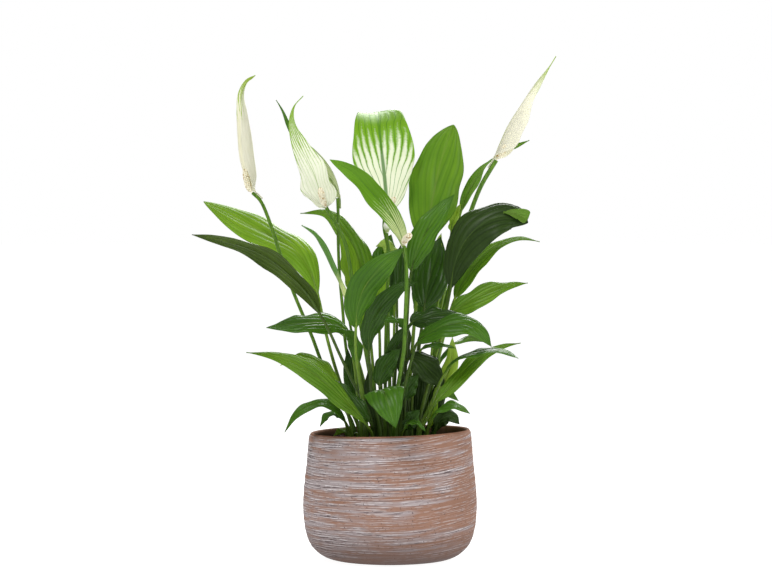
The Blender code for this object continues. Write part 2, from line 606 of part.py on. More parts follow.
def round_ring(path, run, along, radius, sides, knob=0.0):
    """Ring of points round the path, in turn raised and sunk by a share of the radius."""
    place, way, across, above = frame_at(path, run, along, ROUND_FACES)
    ring = []
    for i in range(sides):
        turn = 2 * math.pi * i / sides
        reach = radius * (1 + knob * (-1) ** i)
        ring.append(place + across * reach * math.cos(turn) + above * reach * math.sin(turn))
    return ring


def tube_rings(points, radii, knob=0.0):
    """Rings of a knobbly round body, with its radii spaced evenly along the path."""
    path = smooth_path(points)
    run = distances(path)
    return [round_ring(path, run, run[-1] * n / (len(radii) - 1), radius, BUD_SIDES, knob * (-1) ** n)
            for n, radius in enumerate(radii)]


def stalk_rings(foot, stalk, radii, sides):
    """Rings of a round stalk: one at each of its points, the first two of which are in the soil."""
    path = smooth_path(planted(foot, stalk), 2)
    run = distances(path)
    return [round_ring(path, run, run[k * PATH_STEPS], radius, sides) for k, radius in enumerate(radii)]


def make_stalk(name, foot, stalk, radius):
    """Round stalk of one thickness."""
    rings = stalk_rings(foot, stalk, (radius,) * (len(stalk) + 2), STALK_SIDES)
    finish_object(name, skin_rings(rings), STALK_GREEN, 0.5)


def make_bloom(name, foot, radius, stalk, spathe, half, faces, spadix, colour, **shape):
    """Flower head: stalk, spathe folded round the spadix, and spadix, a gap apart."""
    make_stalk(name + "_stalk", foot, stalk, radius)
    path = smooth_path(planted(foot, stalk), 2)
    run = distances(path)
    hollow = Vector(faces).normalized()
    strip = []
    for back in STRIP_BACKS:
        place, way, across, above = frame_at(path, run, run[-1] - back, hollow)
        strip.append(place - above * (radius + STRIP_SEAT))
    rings = blade_rings(strip + [front_view(*p) for p in spathe], 0, half, hollow, WIDE_COLUMNS,
                        WIDE_STATIONS, STRIP_HALF, SPATHE_SKIN, SPATHE_WAVE, SPATHE_WAVES,
                        strip=STRIP_BACKS[0], **shape)
    finish_object(name + "_spathe", skin_rings(rings), colour, 0.55)
    if spadix:
        seat = path[-1] + way * 2 * GAP
        spine = [seat, seat + way * STIPE, front_view(*spadix)]
        count = max(5, round((spine[2] - spine[1]).length / FLORET_STEP))
        ends = [(1 - (2 * k / count - 1) ** 4) ** 0.5 for k in range(count + 1)]
        radii = [STIPE_RADIUS, STIPE_RADIUS] + [SPADIX_RADIUS * end + SPADIX_END for end in ends]
        finish_object(name + "_spadix", skin_rings(tube_rings(spine, radii, FLORET_KNOB)),
                      SPADIX_CREAM, 0.7, sharp=20.0)
    return (*foot, radius)


def make_rolled_head():
    """Flower head that is still rolled up, in one piece with its stalk."""
    radii = (STALK_RADIUS,) * (len(ROLLED_STALK) + 1) + ROLLED_RADII
    rings = stalk_rings(ROLLED_FOOT, ROLLED_STALK + ROLLED_HEAD, radii, BUD_SIDES)
    finish_object("rolled_bloom", skin_rings(rings), SPATHE_GREEN, 0.5)
    return (*ROLLED_FOOT, STALK_RADIUS)


def make_bud():
    """Small closed bud on its stalk."""
    make_stalk("bud_stalk", BUD_FOOT, BUD_STALK, STALK_RADIUS)
    rings = tube_rings([front_view(*p) for p in BUD], BUD_RADII)
    finish_object("bud", skin_rings(rings), SPATHE_IVORY, 0.55)
    return (*BUD_FOOT, STALK_RADIUS)


def make_pot_and_plant():
    """The whole part."""
    for thing in list(bpy.data.objects):
        bpy.data.objects.remove(thing, do_unlink=True)
    stems = [make_leaf(name, **leaf) for name, leaf in LEAVES.items()]
    stems += [make_shoot(name, leaves) for name, leaves in SHOOTS.items()]
    stems += [make_bloom(name, **bloom) for name, bloom in BLOOMS.items()]
    stems += [make_rolled_head(), make_bud()]
    make_pot()
    make_soil(stems)


make_pot_and_plant()
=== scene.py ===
# %% [markdown]
# # A potted peace lily
#
# A peace lily sends up thin stems from a short stock in the soil. Each stem ends either in one
# lance-shaped leaf, or in a flower head: a hooded leaf, the spathe, round a knobbly spike, the spadix.
# This lesson dresses a plain model of one such plant. The plain model gives the sizes and places, and
# each of its solids is replaced here by a fine piece with veins, folds and a finish of its own.

# %% Loading the plain model
import math
from functools import partial

import bpy
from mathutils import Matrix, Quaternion, Vector, noise


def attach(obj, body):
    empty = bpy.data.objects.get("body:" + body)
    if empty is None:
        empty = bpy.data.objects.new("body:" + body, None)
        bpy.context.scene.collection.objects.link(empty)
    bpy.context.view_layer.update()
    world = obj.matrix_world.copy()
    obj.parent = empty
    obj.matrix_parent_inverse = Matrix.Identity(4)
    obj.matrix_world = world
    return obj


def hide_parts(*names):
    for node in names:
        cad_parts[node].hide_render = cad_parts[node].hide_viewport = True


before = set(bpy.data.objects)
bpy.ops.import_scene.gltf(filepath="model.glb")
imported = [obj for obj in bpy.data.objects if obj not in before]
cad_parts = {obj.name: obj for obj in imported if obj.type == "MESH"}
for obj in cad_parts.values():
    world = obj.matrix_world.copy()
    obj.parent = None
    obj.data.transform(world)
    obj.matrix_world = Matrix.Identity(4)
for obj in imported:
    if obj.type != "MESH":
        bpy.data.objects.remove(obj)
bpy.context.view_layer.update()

# %% [markdown]
# ## Millimetres and a front view
#
# The plant is small, so every size below is in millimetres, and MM turns it into metres. The leaves
# are drawn in the plant's front view: x to the right, z up, and y for how far behind the pot's axis a
# point lies where its stem leaves the soil. The plant splays, so that depth grows with height. A point
# further off looks smaller, so `front_view` spreads it a little to keep it under the drawn one.

# %% Front view
MM = 0.001
STEM_STRAIGHT = 107.0
SPLAY = 0.0045
VIEW_DISTANCE = 2400.0
VIEW_LEVEL = 231.0
VIEW_SLOPE = 0.026
VIEW_SINK = 4.6


def front_view(x, y, z):
    """Place in millimetres of a point drawn at x, z in the front view, y behind the axis at the soil."""
    depth = y * (1 + SPLAY * max(z - STEM_STRAIGHT, 0.0))
    spread = 1 + depth / VIEW_DISTANCE
    level = VIEW_LEVEL + (z - VIEW_LEVEL) * spread - depth * VIEW_SLOPE - VIEW_SINK
    return Vector((x * spread, depth, level))


print("top of the tallest flower head:", [round(c) for c in front_view(140.5, 8.8, 432)])

# %% [markdown]
# ## Colours and nodes
#
# Colours are given as the usual sRGB hex values, which `linear` turns into the linear values
# that shaders work in. `add` puts one node in a tree, fills its sockets and gives back its output.
# Each finish gets it as `put`, tied to its own tree, so a pattern reads as a short list of steps.
# A Mix node that is given `COLOURS` mixes colours.

# %% Colours and nodes
COLOURS = dict(data_type="RGBA", out=2)


def linear(code):
    """Linear colour of an sRGB hex value."""
    parts = [int(code[i:i + 2], 16) / 255 for i in (1, 3, 5)]
    return tuple(c / 12.92 if c <= 0.04045 else ((c + 0.055) / 1.055) ** 2.4 for c in parts) + (1.0,)


def add(tree, kind, *values, out=0, **named):
    """Adds a node. Values fill its sockets in order, named ones a socket of that name or a setting."""
    node = tree.nodes.new("ShaderNode" + kind)
    filled = []
    for key, value in named.items():
        socket = node.inputs.get(key.replace("_", " "))
        if socket is None:
            setattr(node, key, value)
        else:
            filled.append((socket, value))
    filled += zip([socket for socket in node.inputs if socket.enabled], values)
    for socket, value in filled:
        if isinstance(value, bpy.types.NodeSocket):
            tree.links.new(value, socket)
        elif value is not None:
            socket.default_value = linear(value) if isinstance(value, str) else value
    return node.outputs[out] if node.outputs else None


def new_finish(name):
    """New material with an empty tree, and `add` for that tree."""
    finish = bpy.data.materials.new(name)
    finish.use_nodes = True
    finish.node_tree.nodes.clear()
    return finish, partial(add, finish.node_tree)


print("leaf green in linear values:", [round(c, 3) for c in linear("#4f7f24")])

# %% [markdown]
# ## Camera
#
# The picture was taken level with the leaves through a long lens, so the pot is seen almost square on.
# `VIEW_DISTANCE` puts the camera there.

# %% Camera
FRAME_WIDTH = 654.7
CAMERA_HEIGHT = VIEW_LEVEL + VIEW_DISTANCE * VIEW_SLOPE - VIEW_SINK
CAMERA_TARGET = Vector((-3.4, 0.0, 229.9))
SEEN_METRES = 40


def aim(thing, place, target):
    """Puts a camera or lamp at a place in millimetres and turns it to look at the target."""
    thing.location = place * MM
    thing.rotation_euler = (target - place).to_track_quat("-Z", "Y").to_euler()


camera = bpy.data.objects.new("camera", bpy.data.cameras.new("camera"))
bpy.context.scene.collection.objects.link(camera)
aim(camera, Vector((0.0, -VIEW_DISTANCE, CAMERA_HEIGHT)), CAMERA_TARGET)
camera.data.lens = camera.data.sensor_width * VIEW_DISTANCE / FRAME_WIDTH
camera.data.clip_end = SEEN_METRES
bpy.context.scene.camera = camera
bpy.context.scene.view_settings.view_transform = "Standard"
print("lens:", round(camera.data.lens), "mm")

# %% [markdown]
# ## Floor and light
#
# A plain white studio: pale paper, a white surround, one wide lamp over the left shoulder for the gloss
# on the leaves, a weak one on the right, and one behind the plant, because leaves that are lit from
# behind glow a yellowish green. A surround that is white to the eye would wash out every dark leaf if
# it also shone as brightly, so it lights the plant with less. The paper glows too, like one on a light
# table, which hides the line where it ends, and is grey beside that, so that it throws little of the
# lamps' light up at the plant. It is far too wide to aim rays at, so they only meet its glow by chance.

# %% Floor and light
SURROUND_LIGHT = 0.25
PAPER_GLOW = 0.95
PAPER_METRES = 60
LAMPS = {
    "window_lamp": ((-700, -1200, 1600), (0, 0, 220), 600, 21.5),
    "fill_lamp": ((1300, -1000, 700), (0, 0, 220), 900, 12.0),
    "back_lamp": ((300, 1300, 1100), (0, 0, 260), 900, 33.0),
}


def select(*pieces):
    """These pieces selected and nothing else, the first one active, for the next operator."""
    for thing in bpy.context.selected_objects:
        thing.select_set(False)
    for piece in pieces:
        piece.select_set(True)
    if pieces:
        bpy.context.view_layer.objects.active = pieces[0]


world = bpy.data.worlds.new("white_studio")
world.use_nodes = True
world.node_tree.nodes.clear()
put = partial(add, world.node_tree)
strength = put("MapRange", put("LightPath", out="Is Camera Ray"), To_Min=SURROUND_LIGHT)
put("OutputWorld", put("Background", "#ffffff", strength))
bpy.context.scene.world = world

for name, (place, target, size, power) in LAMPS.items():
    lamp = bpy.data.objects.new(name, bpy.data.lights.new(name, "AREA"))
    lamp.data.size = size * MM
    lamp.data.energy = power
    bpy.context.scene.collection.objects.link(lamp)
    aim(lamp, Vector(place), Vector(target))

select()
bpy.ops.mesh.primitive_plane_add(size=PAPER_METRES)
floor = bpy.context.object
floor.name = "floor"
paper, put = new_finish("pale_paper")
put("OutputMaterial", put("BsdfPrincipled", Base_Color="#909090", Roughness=0.9,
                          Emission_Color="#ffffff", Emission_Strength=PAPER_GLOW))
paper.cycles.emission_sampling = "NONE"
floor.data.materials.append(paper)
print("lamps:", len(LAMPS))

# %% [markdown]
# ## The finish of a leaf
#
# A leaf's face is waxed, so it is glossy. From the sunken midrib, side veins sweep out and then far
# forward to the edge, and the blade bulges a little between them. The blade's own UV map gives the
# share of its length and of its width, so the veins are drawn there, as lines of equal
# `length - bow * width ** bend`, and the mesh bulges along the same lines further down. The green runs
# in soft stripes along them, and is painted darker where the blade dips to a vein, as shade in the dip.
# Light also passes through a leaf, so a translucent shader is mixed with the waxy one. The lower face
# is duller, and its veins stand out instead. The dark tone is a darker copy of the deep one: painted
# shade, for leaves that get little light. Each row below gives a tone's glow and how much of it, and
# then, for its face and for its back, the colours of body, shade, vein and rib, the roughness, the gloss
# and the relief.

# %% Leaf finishes
VEINS = 2.2
VEIN_BOW = 1.5
VEIN_BEND = 1.15
PATCH = 40.0
STRIPES = 9
WAX_GRAIN = 1.5
LEAF_RELIEF = 0.3
LEAF_TONES = {
    "fresh": ("#a6cc1c", 0.4, ("#93b632", "#729a24", "#5e861b", "#93b440", 0.45, 0.24, 0.45),
              ("#86a836", "#6c9028", "#5f8622", "#8aaa44", 0.45, 0.14, -0.5)),
    "pale": ("#c6dc60", 0.44, ("#b3cb6a", "#98b650", "#8aaa44", "#c2d488", 0.35, 0.3, 0.6),
             ("#b3cb6a", "#98b650", "#8aaa44", "#c2d488", 0.45, 0.14, -0.4)),
    "grown": ("#93c018", 0.34, ("#6f9426", "#577e1c", "#466c12", "#86a242", 0.42, 0.22, 0.7),
              ("#72933a", "#5c802a", "#4e7220", "#86a24e", 0.45, 0.14, -0.5)),
    "green": ("#7cb012", 0.27, ("#52801b", "#3d6613", "#335a0e", "#6f9234", 0.36, 0.26, 0.7),
              ("#5f8628", "#4b701c", "#426618", "#77983a", 0.45, 0.14, -0.5)),
    "deep": ("#5c9012", 0.17, ("#365a14", "#27440c", "#1f380a", "#486a22", 0.3, 0.24, 0.7),
             ("#42621f", "#345218", "#2d4814", "#56752c", 0.42, 0.14, -0.6)),
    # painted shade: the dark tone is a darker copy of the deep one, for leaves that get little light
    "dark": ("#4e7a12", 0.14, ("#33491a", "#253a10", "#1c2f0b", "#4a6230", 0.45, 0.2, 0.7),
             ("#37531a", "#2b4413", "#253c10", "#4a6726", 0.42, 0.12, -0.6)),
    "olive": ("#759216", 0.2, ("#4d6c17", "#3a5411", "#32490e", "#6a8232", 0.3, 0.28, 0.7),
              ("#506820", "#384c15", "#32450f", "#66792e", 0.42, 0.12, -0.7)),
}


def blade_places(put):
    """Share of the blade's length, share of its half width, and the way from its midrib."""
    length, wide = put("SeparateXYZ", put("UVMap", uv_map="blade")).node.outputs[:2]
    offset = put("Math", wide, 0.5, operation="SUBTRACT")
    side = put("Math", put("Math", offset, operation="ABSOLUTE"), 2.0, operation="MULTIPLY")
    return length, side, offset


def waves_along(put, lead, turns):
    """Waves across the blade along lines of equal lead, from -1 to 1."""
    return put("Math", put("Math", lead, turns, operation="MULTIPLY"), operation="SINE")


def end_finish(put, colour, bump, rough, gloss=0.5, glow=None, share=0.0):
    """A skin of that colour as the material's surface, with a share of light that passes through."""
    skin = put("BsdfPrincipled", Base_Color=colour, Normal=bump, Roughness=rough, Specular_IOR_Level=gloss)
    if share:
        skin = put("MixShader", share, skin, put("BsdfTranslucent", Color=glow, Normal=bump))
    put("OutputMaterial", skin)


def leaf_finish(name, glow, glow_share, body, shade, vein, rib, rough, gloss, relief):
    """Leaf face with side veins, a midrib, colour patches and light that passes through."""
    finish, put = new_finish(name)
    length, side, offset = blade_places(put)
    bow = put("Math", side, VEIN_BEND, operation="POWER")
    lead = put("Math", bow, -VEIN_BOW, length, operation="MULTIPLY_ADD")
    bulge = put("Math", waves_along(put, lead, math.pi * VEINS), operation="ABSOLUTE")
    fine = waves_along(put, lead, math.pi * VEINS * 6)
    line = put("MapRange", bulge, 0.0, 0.25, 1.0, 0.0)
    spine = put("MapRange", side, 0.01, 0.06, 0.45, 0.0)

    grown = put("TexCoord", out="Object")
    patch = put("TexNoise", Vector=grown, Scale=1000 / PATCH, Detail=3.0)
    stripe_at = put("CombineXYZ", put("Math", lead, STRIPES, operation="MULTIPLY"), offset)
    stripe = put("TexNoise", Vector=stripe_at, Scale=1.0, Detail=2.0)
    uneven = put("MapRange", put("Math", patch, stripe, operation="ADD"), 0.8, 1.2)
    plain = put("Mix", uneven, body, shade, **COLOURS)
    # painted shade: the colour darkens towards the vein colour where the blade dips to a vein
    folded = put("Mix", put("MapRange", bulge, 0.0, 0.8, 0.45, 0.0), plain, vein, **COLOURS)
    veined = put("Mix", put("Math", line, 0.25, operation="MULTIPLY"), folded, vein, **COLOURS)
    colour = put("Mix", spine, veined, rib, **COLOURS)

    grain = put("TexNoise", Vector=grown, Scale=1000 / WAX_GRAIN, Detail=2.0)
    between = put("Math", fine, 0.02, bulge, operation="MULTIPLY_ADD")
    height = put("Math", grain, 0.12, between, operation="MULTIPLY_ADD")
    bump = put("Bump", Height=height, Strength=abs(relief), Distance=LEAF_RELIEF * MM, invert=relief < 0)
    worn = put("MapRange", patch, 0.35, 0.65, rough - 0.06, rough + 0.1)
    lit = put("Mix", put("Math", line, 0.5, operation="MULTIPLY"), glow, body, **COLOURS)
    end_finish(put, colour, bump, worn, gloss, lit, glow_share)
    return finish


LEAF_FACES = {}
for tone, (glow, share, face, back) in LEAF_TONES.items():
    LEAF_FACES[tone] = (leaf_finish(tone + "_leaf_face", glow, share, *face),
                        leaf_finish(tone + "_leaf_back", glow, share, *back))
print("leaf finishes:", [face.name for pair in LEAF_FACES.values() for face in pair])

# %% [markdown]
# ## The finish of a stem
#
# Stems are smooth and juicy, with fine fibres that run up them. Noise on the object's own coordinates,
# squeezed along z, gives streaks about 1 mm wide and 30 mm long. Deep in the pot, where little light
# comes, the stems are painted darker, as shade.

# %% Stem finish
FIBRE_RELIEF = 0.2


def grains(put, at, sizes, detail, unit=1000.0, lift=0.0):
    """Noise whose grains have their own size along x, y and z, in the units of the places read."""
    scale = tuple(unit / size for size in sizes)
    squeezed = put("Mapping", Vector=at, Location=(0.0, 0.0, lift), Scale=scale)
    return put("TexNoise", Vector=squeezed, Scale=1.0, Detail=detail)


def stem_finish(name, light, dark):
    """Green stem with fibres that run up it, painted darker low in the pot as shade."""
    finish, put = new_finish(name)
    grown = put("TexCoord", out="Object")
    streak = grains(put, grown, (1.0, 1.0, 30.0), 3.0)
    fresh = put("Mix", put("MapRange", streak, 0.3, 0.7), light, dark, **COLOURS)
    up = put("SeparateXYZ", grown, out=2)
    # painted shade: the stems darken low in the pot, where little light comes
    low = put("MapRange", up, 100 * MM, 185 * MM, 0.7, 0.0)
    colour = put("Mix", low, fresh, "#23370c", **COLOURS)
    bump = put("Bump", Height=streak, Strength=0.3, Distance=FIBRE_RELIEF * MM)
    end_finish(put, colour, bump, 0.42, 0.25, light, 0.15)
    return finish


STEM = stem_finish("leaf_stem_skin", "#84a338", "#53781f")
DARK_STEM = stem_finish("old_leaf_stem_skin", "#4f6a20", "#334a12")
STALK = stem_finish("flower_stalk_skin", "#668e22", "#3b6112")
print("stem finishes:", STEM.name, DARK_STEM.name, STALK.name)

# %% [markdown]
# ## A path for stem and rib
#
# A leaf is one line with a width: up the stem and along the midrib to the tip. `smooth_path` draws a
# fine line through a few points, straight up where it leaves the soil, and `frame_at` tells at any
# length along it where the line is, which way it runs, and which way is across and out of the blade.

# %% Path
STEM_FLOOR = 92.3
PATH_STEPS = 12


def smooth_path(points, upright=0):
    """Fine points on a smooth curve through the given ones, straight up at the first few."""
    spans = [b - a for a, b in zip(points, points[1:])]
    ways = [span.normalized() for span in spans]
    leads = [ways[0]] + [(a + b).normalized() for a, b in zip(ways, ways[1:])] + [ways[-1]]
    for i in range(upright):
        leads[i] = Vector((0, 0, 1))
    path = [points[0]]
    for start, end, lead, trail, span in zip(points, points[1:], leads, leads[1:], spans):
        for k in range(1, PATH_STEPS + 1):
            t = k / PATH_STEPS
            pull = (t ** 3 - 2 * t ** 2 + t) * lead + (t ** 3 - t ** 2) * trail
            path.append(start.lerp(end, 3 * t ** 2 - 2 * t ** 3) + pull * span.length)
    return path


def distances(path):
    """Length along the path up to each of its points."""
    run = [0.0]
    for a, b in zip(path, path[1:]):
        run.append(run[-1] + (b - a).length)
    return run


def frame_at(path, run, along, faces):
    """Place on the path, its direction there, and the directions across the blade and out of it."""
    k = 0
    while k < len(run) - 2 and run[k + 1] < along:
        k += 1
    share = (along - run[k]) / (run[k + 1] - run[k])
    before = path[max(k - 1, 0)]
    after = path[min(k + 2, len(path) - 1)]
    way = (after - before).normalized()
    across = faces.cross(way).normalized()
    return path[k].lerp(path[k + 1], share), way, across, way.cross(across)


def planted(foot, stem):
    """Points of a stem that stands upright in the soil."""
    x, y = foot
    return [Vector((x, y, STEM_FLOOR)), Vector((x, y, STEM_STRAIGHT))] + [front_view(*p) for p in stem]


print("steps between two drawn points:", PATH_STEPS)

# %% [markdown]
# ## A blade
#
# A blade starts as a flat grid, the way a leaf could be cut from a sheet. Each grid line across it is
# laid on the path, scaled to the leaf's outline there, folded up along the midrib and curled towards
# its edges. The edges are waved and frilled, the outline wanders a little, and the blade bulges between
# its side veins. Noise that is read at the leaf's own foot makes each leaf differ. Solidify then gives
# it the thickness of a leaf, with the lower finish on the lower face. The grid brings its own UV map,
# which carries the veins.

# %% Blade
LEAF_SKIN = 0.45
TIP_HALF = 0.35
GROOVE_HALF = 0.1
STRIP_HALF = 0.9
BLADE_GRID = (90, 32)
SMALL_GRID = (56, 18)
SMALL_HALF = 8.5
BLADE = dict(fold=0.22, curl=-0.6, swell=0.7, taper=1.0, wave=1.3, waves=2.5, frill=2.2, ragged=0.1,
             quilt=0.6, groove=0.45, twist=0.0)


def blade_width(u, swell, taper):
    """Width of a blade at share u of its length, against its greatest width."""
    widest = swell / (swell + taper)
    return (u / widest) ** swell * ((1 - u) / (1 - widest)) ** taper if 0 < u < 1 else 0.0


def bulge_at(u, t):
    """How far the blade stands up between its side veins, from 0 on a vein to 1, and 0 at the edge."""
    lead = u - VEIN_BOW * t ** VEIN_BEND
    return abs(math.sin(math.pi * VEINS * lead)) ** 0.7 * min(1.0, 4 * (1 - t)) * min(1.0, 4 * (1 - u))


def shape_blade(grid, path, start, opening, half, faces, least, shut, look):
    """Lays a flat grid of size 1 along the path from its start on, as a folded, waved blade."""
    run = distances(path)
    own = path[0].x + 3 * path[0].y
    rows = {}
    for corner in grid.vertices:
        u = round(corner.co.x + 0.5, 5)
        v = corner.co.y * 2
        if u not in rows:
            along = start + (run[-1] - start) * u
            grown = max((along - opening) / (run[-1] - opening), 0.0)
            width = half * blade_width(grown, look["swell"], look["taper"])
            width = max(width, least if u < 0.5 else TIP_HALF)
            place, way, across, above = frame_at(path, run, along, faces)
            turned = Quaternion(way, math.radians(look["twist"]) * grown)
            rows[u] = (place, turned @ across, turned @ above, width)
        place, across, above, width = rows[u]
        share = min(width / half, 1.0)
        open_share = share if shut else 1.0
        bend = look["curl"] * open_share
        crease = look["fold"] * open_share
        t = abs(v)
        side = math.copysign(1, v)
        width *= 1 + look["ragged"] * share * noise.noise(Vector((5 * u, 3 * side, own)))
        turn = crease + bend * t
        out = width / bend * (math.sin(turn) - math.sin(crease))
        up = width / bend * (math.cos(crease) - math.cos(turn))
        sway = side * look["wave"] * math.sin(2 * math.pi * look["waves"] * u)
        sway += look["frill"] * noise.noise(Vector((6 * u, 2 * side, own + 40)))
        lift = sway * t ** 2 * share + look["quilt"] * share * bulge_at(u, t)
        lift -= look["groove"] * share * math.exp(-(t / GROOVE_HALF) ** 2)
        corner.co = (place + across * side * (out - lift * math.sin(turn))
                     + above * (up + lift * math.cos(turn))) * MM


def make_blade(name, path, start, half, faces, finishes, strip=0.0, least=STRIP_HALF, skin=LEAF_SKIN,
               fine=BLADE_GRID, **look):
    """A blade with an upper and a lower finish, which may run down its stalk as a narrow strip."""
    select()
    bpy.ops.mesh.primitive_grid_add(x_subdivisions=fine[0], y_subdivisions=fine[1], size=1)
    blade = bpy.context.object
    blade.name = name
    blade.data.uv_layers[0].name = "blade"
    shape_blade(blade.data, path, start, start + strip, half, faces, least, strip > 0, BLADE | look)
    thick = blade.modifiers.new("thickness", "SOLIDIFY")
    thick.thickness = skin * MM
    thick.offset = 0
    thick.material_offset = 1
    thick.material_offset_rim = 1
    for finish in finishes:
        blade.data.materials.append(finish)
    bpy.ops.object.modifier_apply(modifier=thick.name)
    bpy.ops.object.shade_smooth()
    return blade


print("a blade's grid:", BLADE_GRID[0] * BLADE_GRID[1], "faces a side, or", SMALL_GRID[0] * SMALL_GRID[1])

# %% [markdown]
# ## A stem with its rib
#
# The stem is a curve with a round bevel. It thins on its way up, runs on under the blade as the midrib,
# and fades out before the tip, as the real one does. Near the soil it widens into the sheath that wraps
# the stems inside it. The curve is turned into a mesh and joined to its blade.
#
# In the tables of leaves that follow, each leaf is drawn by the foot of its stem in the soil, points up
# the stem and along the midrib, half of the blade's width, the way its upper face looks, and the
# material slot that its colour belongs to. A tone named after that colours it otherwise.

# %% Stem
STEM_RADIUS = 1.2
STEM_GROWTH = 0.025
STEM_TAPER = 0.25
STEM_RINGS = 46
SHEATH_TOP = 128.0
SHEATH_SWELL = 0.35
RIB_END = 0.93
RIB_FADE = 1.2
RIB_SINK = 0.6
RIB_SUNK_AT = 0.1


def make_tube(name, places, radii, finish, sides=2):
    """Round tube through the places, with a radius in millimetres at each."""
    line = bpy.data.curves.new(name, "CURVE")
    line.dimensions = "3D"
    line.bevel_depth = MM
    line.bevel_resolution = sides
    line.use_fill_caps = True
    spline = line.splines.new("POLY")
    spline.points.add(len(places) - 1)
    for point, place, radius in zip(spline.points, places, radii):
        point.co = (*place * MM, 1.0)
        point.radius = radius
    tube = bpy.data.objects.new(name, line)
    bpy.context.scene.collection.objects.link(tube)
    select(tube)
    bpy.ops.object.convert(target="MESH")
    tube = bpy.context.object
    tube.data.materials.append(finish)
    bpy.ops.object.shade_smooth()
    return tube


def join(pieces, name):
    """One object of several, under a new name."""
    select(*pieces)
    bpy.ops.object.join()
    pieces[0].name = name
    return pieces[0]


def place_on_plant(piece, node):
    """The piece belongs to the potted plant, and stands for a solid of the plain model if one is named."""
    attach(piece, "root")
    if node:
        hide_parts(node)


def make_leaf(name, node, foot, stem, rib, half, faces, slot, tone=None, **looks):
    """Leaf blade, midrib and stem in one piece, with the finishes of its slot or of another tone."""
    radius = STEM_RADIUS + STEM_GROWTH * half
    path = smooth_path(planted(foot, stem) + [front_view(*p) for p in rib], 2)
    run = distances(path)
    start = run[(len(stem) + 2) * PATH_STEPS]
    hint = Vector(faces).normalized()
    thin = radius * (1 - STEM_TAPER)
    faces = LEAF_FACES[tone or slot]
    grid = SMALL_GRID if half < SMALL_HALF else BLADE_GRID
    blade = make_blade(name + "_blade", path, start, half, hint, faces, least=thin, fine=grid, **looks)
    places = []
    radii = []
    for k in range(STEM_RINGS + 1):
        along = run[-1] * RIB_END * k / STEM_RINGS
        place, way, across, above = frame_at(path, run, along, hint)
        grown = max((along - start) / (run[-1] - start), 0.0)
        thickness = radius * (1 - STEM_TAPER * min(along / start, 1.0)) * (1 - grown) ** RIB_FADE
        sheath = SHEATH_SWELL * max(1 - along / (SHEATH_TOP - STEM_FLOOR), 0.0)
        places.append(place - above * thickness * min(grown / RIB_SUNK_AT, 1.0) * RIB_SINK)
        radii.append(thickness * (1 + sheath))
    stalk = make_tube(name + "_stem", places, radii, DARK_STEM if slot in ("deep", "olive") else STEM)
    place_on_plant(join([blade, stalk], name), node)


def drawn(*line, **looks):
    """One leaf of a table: how it is drawn, and the looks that it has of its own."""
    return line, looks


def make_leaves(side, leaves):
    """The leaves of one side of the plant, each in the place of its solid."""
    for number, (line, looks) in leaves.items():
        node = f"leaf_{side}_{number}"
        make_leaf("fine_" + node, node, *line, **looks)
    print(side, "leaves:", len(leaves))


print("stem radius of a leaf 30 mm wide:", STEM_RADIUS + STEM_GROWTH * 15)

# %% [markdown]
# ## Leaves on the left
#
# The two long leaves that arch out to the left show their pale and their olive side. Below them
# are short ones, and two bend over the rim.

# %% Leaves on the left
LEFT_LEAVES = {
    1: drawn(
        (-26, 10), ((-37, 12, 140), (-47, 16, 170), (-55, 20, 200)),
        ((-61, 24, 229), (-68, 28, 250), (-79, 33, 266.5), (-100, 40, 279), (-122, 46, 290.5),
         (-142, 50, 301.5), (-158, 52, 309)),
        19, (0, -1, 1.6), "fresh", swell=1.0, taper=0.85),
    2: drawn(
        (-13, -22), ((-20, -24, 135), (-32, -28, 157), (-43, -30, 180), (-52, -32, 200)),
        ((-59, -33, 213), (-69, -34, 230), (-84, -35, 246), (-102, -36, 260.5), (-120, -36, 269.5),
         (-142, -36, 276), (-168, -34, 281)),
        14.5, (0, 1, 2), "olive", swell=0.9),
    3: drawn(
        (-12, 10), ((-13, 14, 150), (-17, 20, 200)),
        ((-18, 24, 230), (-23, 27, 249), (-29, 30, 268), (-39, 33, 285), (-54, 36, 299), (-76, 38, 299)),
        12.5, (0.3, -1, 0.6), "green", "grown", swell=0.45, taper=1.2),
    4: drawn(
        (-24, -12), ((-27, -12, 140), (-31, -12, 175)),
        ((-36, -12, 197), (-44, -12, 204), (-56, -13, 206.5), (-70, -14, 206.5), (-84, -15, 205),
         (-105, -16, 202)),
        15, (0, -1, 1.6), "green"),
    5: drawn(
        (-21, -18), ((-22, -18, 140),),
        ((-27, -20, 172), (-29, -21, 184), (-33, -23, 195), (-42, -26, 201)),
        6, (0.2, -1, 0.5), "green"),
    6: drawn(
        (-15, -42), (),
        ((-19, -50, 118), (-29, -56, 130), (-40, -61, 141), (-52, -66, 152.5), (-66, -70, 163.5),
         (-82, -74, 172.5), (-98, -77, 178), (-122, -80, 181)),
        11.5, (0.2, -1, 0.9), "green", "grown", swell=1.2, taper=1.4),
    7: drawn(
        (-14, -33), (),
        ((-17, -37, 122), (-26, -40, 134), (-37, -42, 146), (-51, -43, 160)),
        8, (0.4, -1, 0.8), "deep"),
    8: drawn(
        (-32, -10), ((-38, -10, 135),),
        ((-44, -10, 152), (-54, -9, 166), (-68, -8, 176), (-80, -7, 176), (-93, -6, 170)),
        9, (0, -0.5, 1), "fresh"),
    9: drawn(
        (-33, -24), (),
        ((-38, -28, 122), (-46, -32, 133.5), (-57, -36, 138.5), (-70, -39, 135), (-81, -41, 127),
         (-89.5, -42, 113)),
        6, (0, -0.7, 1), "green"),
    10: drawn(
        (-36, -18), (),
        ((-38, -18, 122), (-44, -18, 129), (-53, -18, 128), (-59.5, -18, 118)),
        5, (0, -0.5, 1), "green"),
}
make_leaves("left", LEFT_LEAVES)

# %% [markdown]
# ## Leaves in front
#
# The lowest leaf in front hangs its glossy face over the rim. Behind it, narrow young leaves
# fill the middle of the plant.

